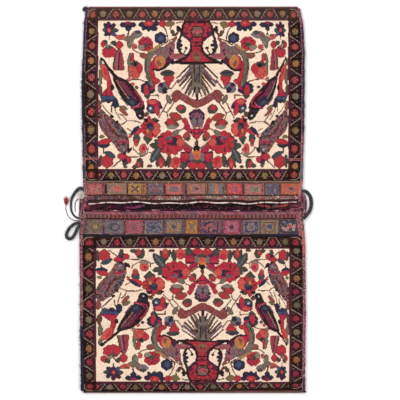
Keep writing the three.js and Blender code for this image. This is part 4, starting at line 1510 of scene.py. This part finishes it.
def lip_cord(pouch, y, diameter, colours, seed, run):
    """Wool whipped along a pouch's lip, which changes colour about once in every run."""
    node = f"{pouch}_lip_cord"
    low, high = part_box(node)
    x = np.arange(low.x / MM + 0.5, high.x / MM - 0.5, WRAP_STEP)
    across = 2 * (x - x[0]) / (x[-1] - x[0]) - 1
    base = under_height(pouch, across, x, np.full(len(x), POUCHES[pouch]["lip"]))
    path = np.stack([x, y + lip_wave(pouch, x), base + LIP_RISE], -1)
    half = diameter / 2 * (1 + 0.22 * slow_noise(x, 0 * x, 30, seed))
    angle = np.linspace(0, 2 * math.pi, LIP_SIDES, endpoint=False)
    phase = np.arange(len(x))[:, None] * WRAP_STEP / 2.4 + 0.6 * np.cos(angle)
    ridge = np.abs(np.sin(math.pi * phase))
    sections = ring_sections(len(x), LIP_SIDES, half, half * 0.9) * (0.8 + 0.2 * ridge)[..., None]
    number = np.floor(x / run + 0.9 * slow_noise(x, 0 * x, 60, seed + 4)).astype(int)
    # painted shade in the grooves between the wraps
    tint = choose(np.abs(number), colours, seed)[:-1, None] * (0.6 + 0.4 * ridge[:-1])[..., None]
    return new_piece(f"{pouch}_lip_whipping", *tube_parts(path, sections, tint), YARN, "cream_wool", [node])


LIP_WHITE, LIP_PALE, LIP_PINK, LIP_ROSE, LIP_DUSTY = wools("F8EAE0 E8CCC4 C8908C B07C78 C8A890")
LIP_RISE = FLATWEAVE_THICKNESS / 2 + 0.4
LIP_SIDES = 10
# The cord on each lip: its y, width, wools, seed and run
LIP_CORDS = {
    "upper": (-8.6, 3.8, [LIP_WHITE, LIP_WHITE * 0.85, LIP_WHITE, LIP_PALE, LIP_WHITE, LIP_PINK, LIP_ROSE],
              107, 6.0),
    "lower": (-28.4, 3.2, [MAROON, ROSE, WINE, BRAID_ROSE, LIP_DUSTY, PLUM], 108, 11.0),
}


# ---------------------------------------------------------------- cords, tassels and tufts

def strand_tubes(path, offsets, sections, patch, colours, seed):
    """Tubes that run beside a path, one for each offset, in patches of colour this many steps long."""
    parts, first = [], 0
    for k, offset in enumerate(offsets):
        tint = choose(np.arange(len(path)) // patch, colours, seed + k)
        parts.append(tube_parts(path + offset, sections, tint, first))
        first += len(parts[-1][0])
    return merge_parts(parts)


def plaited(route, diameter, pitch, colours, seed, scales):
    """A three-strand plait along a route, its middle line and its length."""
    path, length = smooth_path(route, 0.7)
    across, up = path_frame(path)
    along = np.linspace(0, 1, len(path))
    girth = diameter * np.interp(along, np.linspace(0, 1, len(scales)), scales)
    offsets = []
    for strand in range(3):
        phase = 2 * math.pi * (along * length / pitch + strand / 3)
        sway, rise = 0.25 * girth * np.sin(phase), 0.13 * girth * np.sin(2 * phase)
        offsets.append(across * sway[:, None] + up * rise[:, None])
    sections = ring_sections(len(path), 8, 0.275 * girth, 0.25 * girth)
    return strand_tubes(path, offsets, sections, 3, colours, seed), path, length


def twisted(route, diameter, pitch, colours, seed):
    """A two-ply yarn along a route, its middle line and its length."""
    path, length = smooth_path(route, 0.6)
    across, up = path_frame(path)
    phase = 2 * math.pi * np.linspace(0, length, len(path))[:, None] / pitch
    offset = 0.24 * diameter * (across * np.cos(phase) + up * np.sin(phase))
    sections = ring_sections(len(path), 6, 0.28 * diameter, 0.28 * diameter)
    return strand_tubes(path, (offset, -offset), sections, 4, colours, seed), path, length


def strands(starts, headings, lengths, radius, droop, colours, seed, first=0):
    """Loose fibres that leave their starts along their headings and fall."""
    rng = np.random.default_rng(seed)
    radii = radius * np.array([1, 1, 0.9, 0.7, 0.3])
    t = np.linspace(0, 1, 5)[:, None]
    parts = []
    for start, heading, length in zip(starts, headings, lengths):
        bend = rng.normal(0, 0.25, 3)
        route = start + length * (heading * t + bend * t * t) - [0, 0, droop] * t * t
        route[:, 2] = np.maximum(route[:, 2], radius + 0.1)
        tint = np.tile(colours[rng.integers(len(colours))] * rng.uniform(0.75, 1.2), (5, 1))
        parts.append(tube_parts(route, ring_sections(5, 3, radii, radii), tint, first))
        first += len(parts[-1][0])
    return merge_parts(parts)


def brush(place, heading, spread, length, width, count, seed):
    """Starts, headings and lengths of the fibres of a tuft."""
    rng = np.random.default_rng(seed)
    turn = math.radians(heading) + rng.normal(0, math.radians(spread), count)
    starts = np.array(place) + rng.normal(0, width / 3, (count, 3)) * [1, 1, 0.5]
    rise = rng.normal(0.05, 0.2, count)
    headings = np.stack([np.cos(turn), np.sin(turn), rise], -1)
    return starts, headings, length * rng.uniform(0.6, 1.0, count)


HAIR_TINTS = wools("3A3638 2C292B 48434A 322E30")
KNOB_TINTS = wools("3A2830 2A1E24 4A343A 241C20")
WINE_TINTS = wools("743A46 5A2834 86505A")
RED_TINTS = wools("C03444 A82838 D04A58 8E2A3A")
CREAM_TINTS = wools("E2D4C2 D8C8B0 F2EADA")

# Routes of the free cords, from where each leaves the bag
LEFT_PLAIT = [
    (-293.4, 28.4, 7.4), (-296.8, 29.5, 7), (-301, 31, 6), (-306, 30.5, 4.2), (-313, 24.8, 3.4),
    (-320, 16, 3.3), (-325, 7, 3.3), (-327.8, -3, 3.3), (-328.6, -12, 3.3), (-328.6, -22, 3.3),
    (-326.6, -32, 3.3), (-322, -40.5, 3.3), (-315.5, -46.5, 3.3), (-309, -49, 3.6), (-303.2, -50.2, 4.6),
]
WINE_CORD = [
    (-304.6, -56.2, 2.4), (-308, -56.2, 1.4), (-314, -55.9, 1.2), (-321.5, -54.9, 1.2), (-330, -50.5, 1.2),
    (-336.8, -42.5, 1.2), (-341, -32, 1.2), (-342.8, -21, 1.2), (-341.9, -12, 1.4),
]
INNER_CORD = [
    (-296.4, -2, 7.6), (-301, 1, 8), (-306, 3.2, 6.2), (-311, 1.5, 3.2), (-315.4, -4, 1.5),
    (-317.6, -12, 1.3), (-317.8, -22, 1.3), (-316.6, -31, 1.3),
]
LEFT_LOOP = [
    (-302.6, -61.6, 6.4), (-305.6, -62, 6), (-311, -62.4, 4.8), (-319.5, -65, 4.1), (-330, -73.5, 4.1),
    (-337.5, -84, 4.1), (-341, -94, 4.1), (-339, -102, 4.1), (-331.5, -105, 4.1), (-323.5, -100.5, 4.1),
    (-316.5, -88, 4.1), (-312, -77.5, 4.8), (-308.4, -73, 5.6), (-304.6, -68.6, 6.4),
]
RIGHT_BOW = [
    (293, 23.4, 8.6), (297.2, 23.5, 8.4), (302, 22.8, 7.4), (307.5, 19.8, 5.2), (312.8, 13.6, 4.4),
    (317, 4, 4.3), (318.4, -9, 4.3), (317.2, -21, 4.3), (313, -32, 4.3), (306.5, -41, 4.6),
    (300.2, -47.2, 6), (297, -49.6, 6.6),
]
# Each plait: its piece, node, route, declared width, pitch, seed, and its girth along the way in such widths
HAIR_CORDS = [
    ("goat_hair_plait", "left_plaited_cord", LEFT_PLAIT, 6.4, 15.0, 11, (1.45, 1.4, 0.95, 0.85, 0.85)),
    ("goat_hair_loop", "left_hair_loop", LEFT_LOOP, 8.0, 19.0, 12, (1.0, 1.12, 1.12, 1.0)),
    ("goat_hair_bow", "right_hair_bow", RIGHT_BOW, 8.4, 20.0, 13, (1.1, 1.2, 1.2, 1.1)),
]
WINE_WIDTH, INNER_WIDTH, YARN_PITCH = 2.3, 2.5, 5.0


def add_cord(name, spun, material, slot, node):
    """A free cord from its tubes, middle line and length."""
    parts, path, length = spun
    piece = new_piece(name, *parts, material, slot, [node])


def add_cords():
    for name, node, route, diameter, pitch, seed, scales in HAIR_CORDS:
        plait = plaited(route, diameter, pitch, HAIR_TINTS, seed, scales)
        add_cord(name, plait, HAIR, "goat_hair", node)

    knot = WINE_CORD[-1]
    fibres = brush((knot[0], knot[1] + 2, 3.4), 86, 13, 16, 5.5, 60, 15)
    tassel = strands(*fibres, 0.75, 3, RED_TINTS, 16)
    tassel = new_piece("red_tassel", *tassel, YARN, "red_wool", ["wine_cord_tassel"])
    wine = twisted(WINE_CORD, WINE_WIDTH, YARN_PITCH, WINE_TINTS, 17)
    add_cord("wine_yarn", wine, YARN, "wine_wool", "wine_cord")
    inner = twisted(INNER_CORD, INNER_WIDTH, YARN_PITCH, WINE_TINTS, 18)
    add_cord("inner_yarn", inner, YARN, "wine_wool", "inner_cord")


def knob(place, radii, colours, seed):
    """A small tight bundle of hair."""
    turn = np.linspace(-0.96, 0.96, 15)
    path = np.array(place) + np.stack([turn * radii[0], 0.25 * turn * radii[1], 0 * turn], -1)
    girth = np.sqrt(1 - turn**2) * (1 + 0.12 * slow_noise(turn * 20, 0 * turn, 9, seed))
    tint = choose(np.arange(14)[:, None] * 5 + np.arange(12)[None, :] // 2, colours, seed)
    return tube_parts(path, ring_sections(15, 12, girth * radii[1], girth * radii[2]), tint)


def hair_knob(name, node, shift, radii, heading, count, seed):
    low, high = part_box(node)
    place = np.array((low + high) / 2) / MM + shift
    body = knob(place, radii, KNOB_TINTS, seed)
    fibres = brush(place, heading, 60, radii[1] * 1.5, radii[1], count, seed + 1)
    fuzz = strands(*fibres, 0.45, 1.5, KNOB_TINTS, seed + 2, len(body[0]))
    new_piece(name, *merge_parts([body, fuzz]), HAIR, "goat_hair", [node])


def add_tufts():
    fibres = brush((-295, 14, 9), 190, 60, 14, 11, 80, 21)
    tuft = strands(*fibres, 0.7, 3, [LIP_WHITE, *CREAM_TINTS, LIP_WHITE], 22)
    new_piece("cream_tuft", *tuft, YARN, "cream_wool", ["cream_wool_tuft"])
    hair_knob("corner_tuft", "top_left_tuft", [6, -5, 0], (9, 6, 5), 110, 60, 23)
    hair_knob("corner_knot", "bottom_right_knot", [-4, 5, 0], (4, 3.6, 3.4), -60, 24, 26)


# ---------------------------------------------------------------- run

add_camera()
add_studio()
add_cords()
backs = [back_sheet("upper"), back_sheet("lower")]
bridge = bridge_sheet()
faces = [pile_face("upper"), pile_face("lower")]
bands = [closing_band("upper"), closing_band("lower")]

for place, seam in SEAMS.items():
    overcast_seam(place, *seam)
bridge_overcast("left", -1, 105)
bridge_overcast("right", 1, 106)
for pouch, lip in LIP_CORDS.items():
    lip_cord(pouch, *lip)
add_tufts()
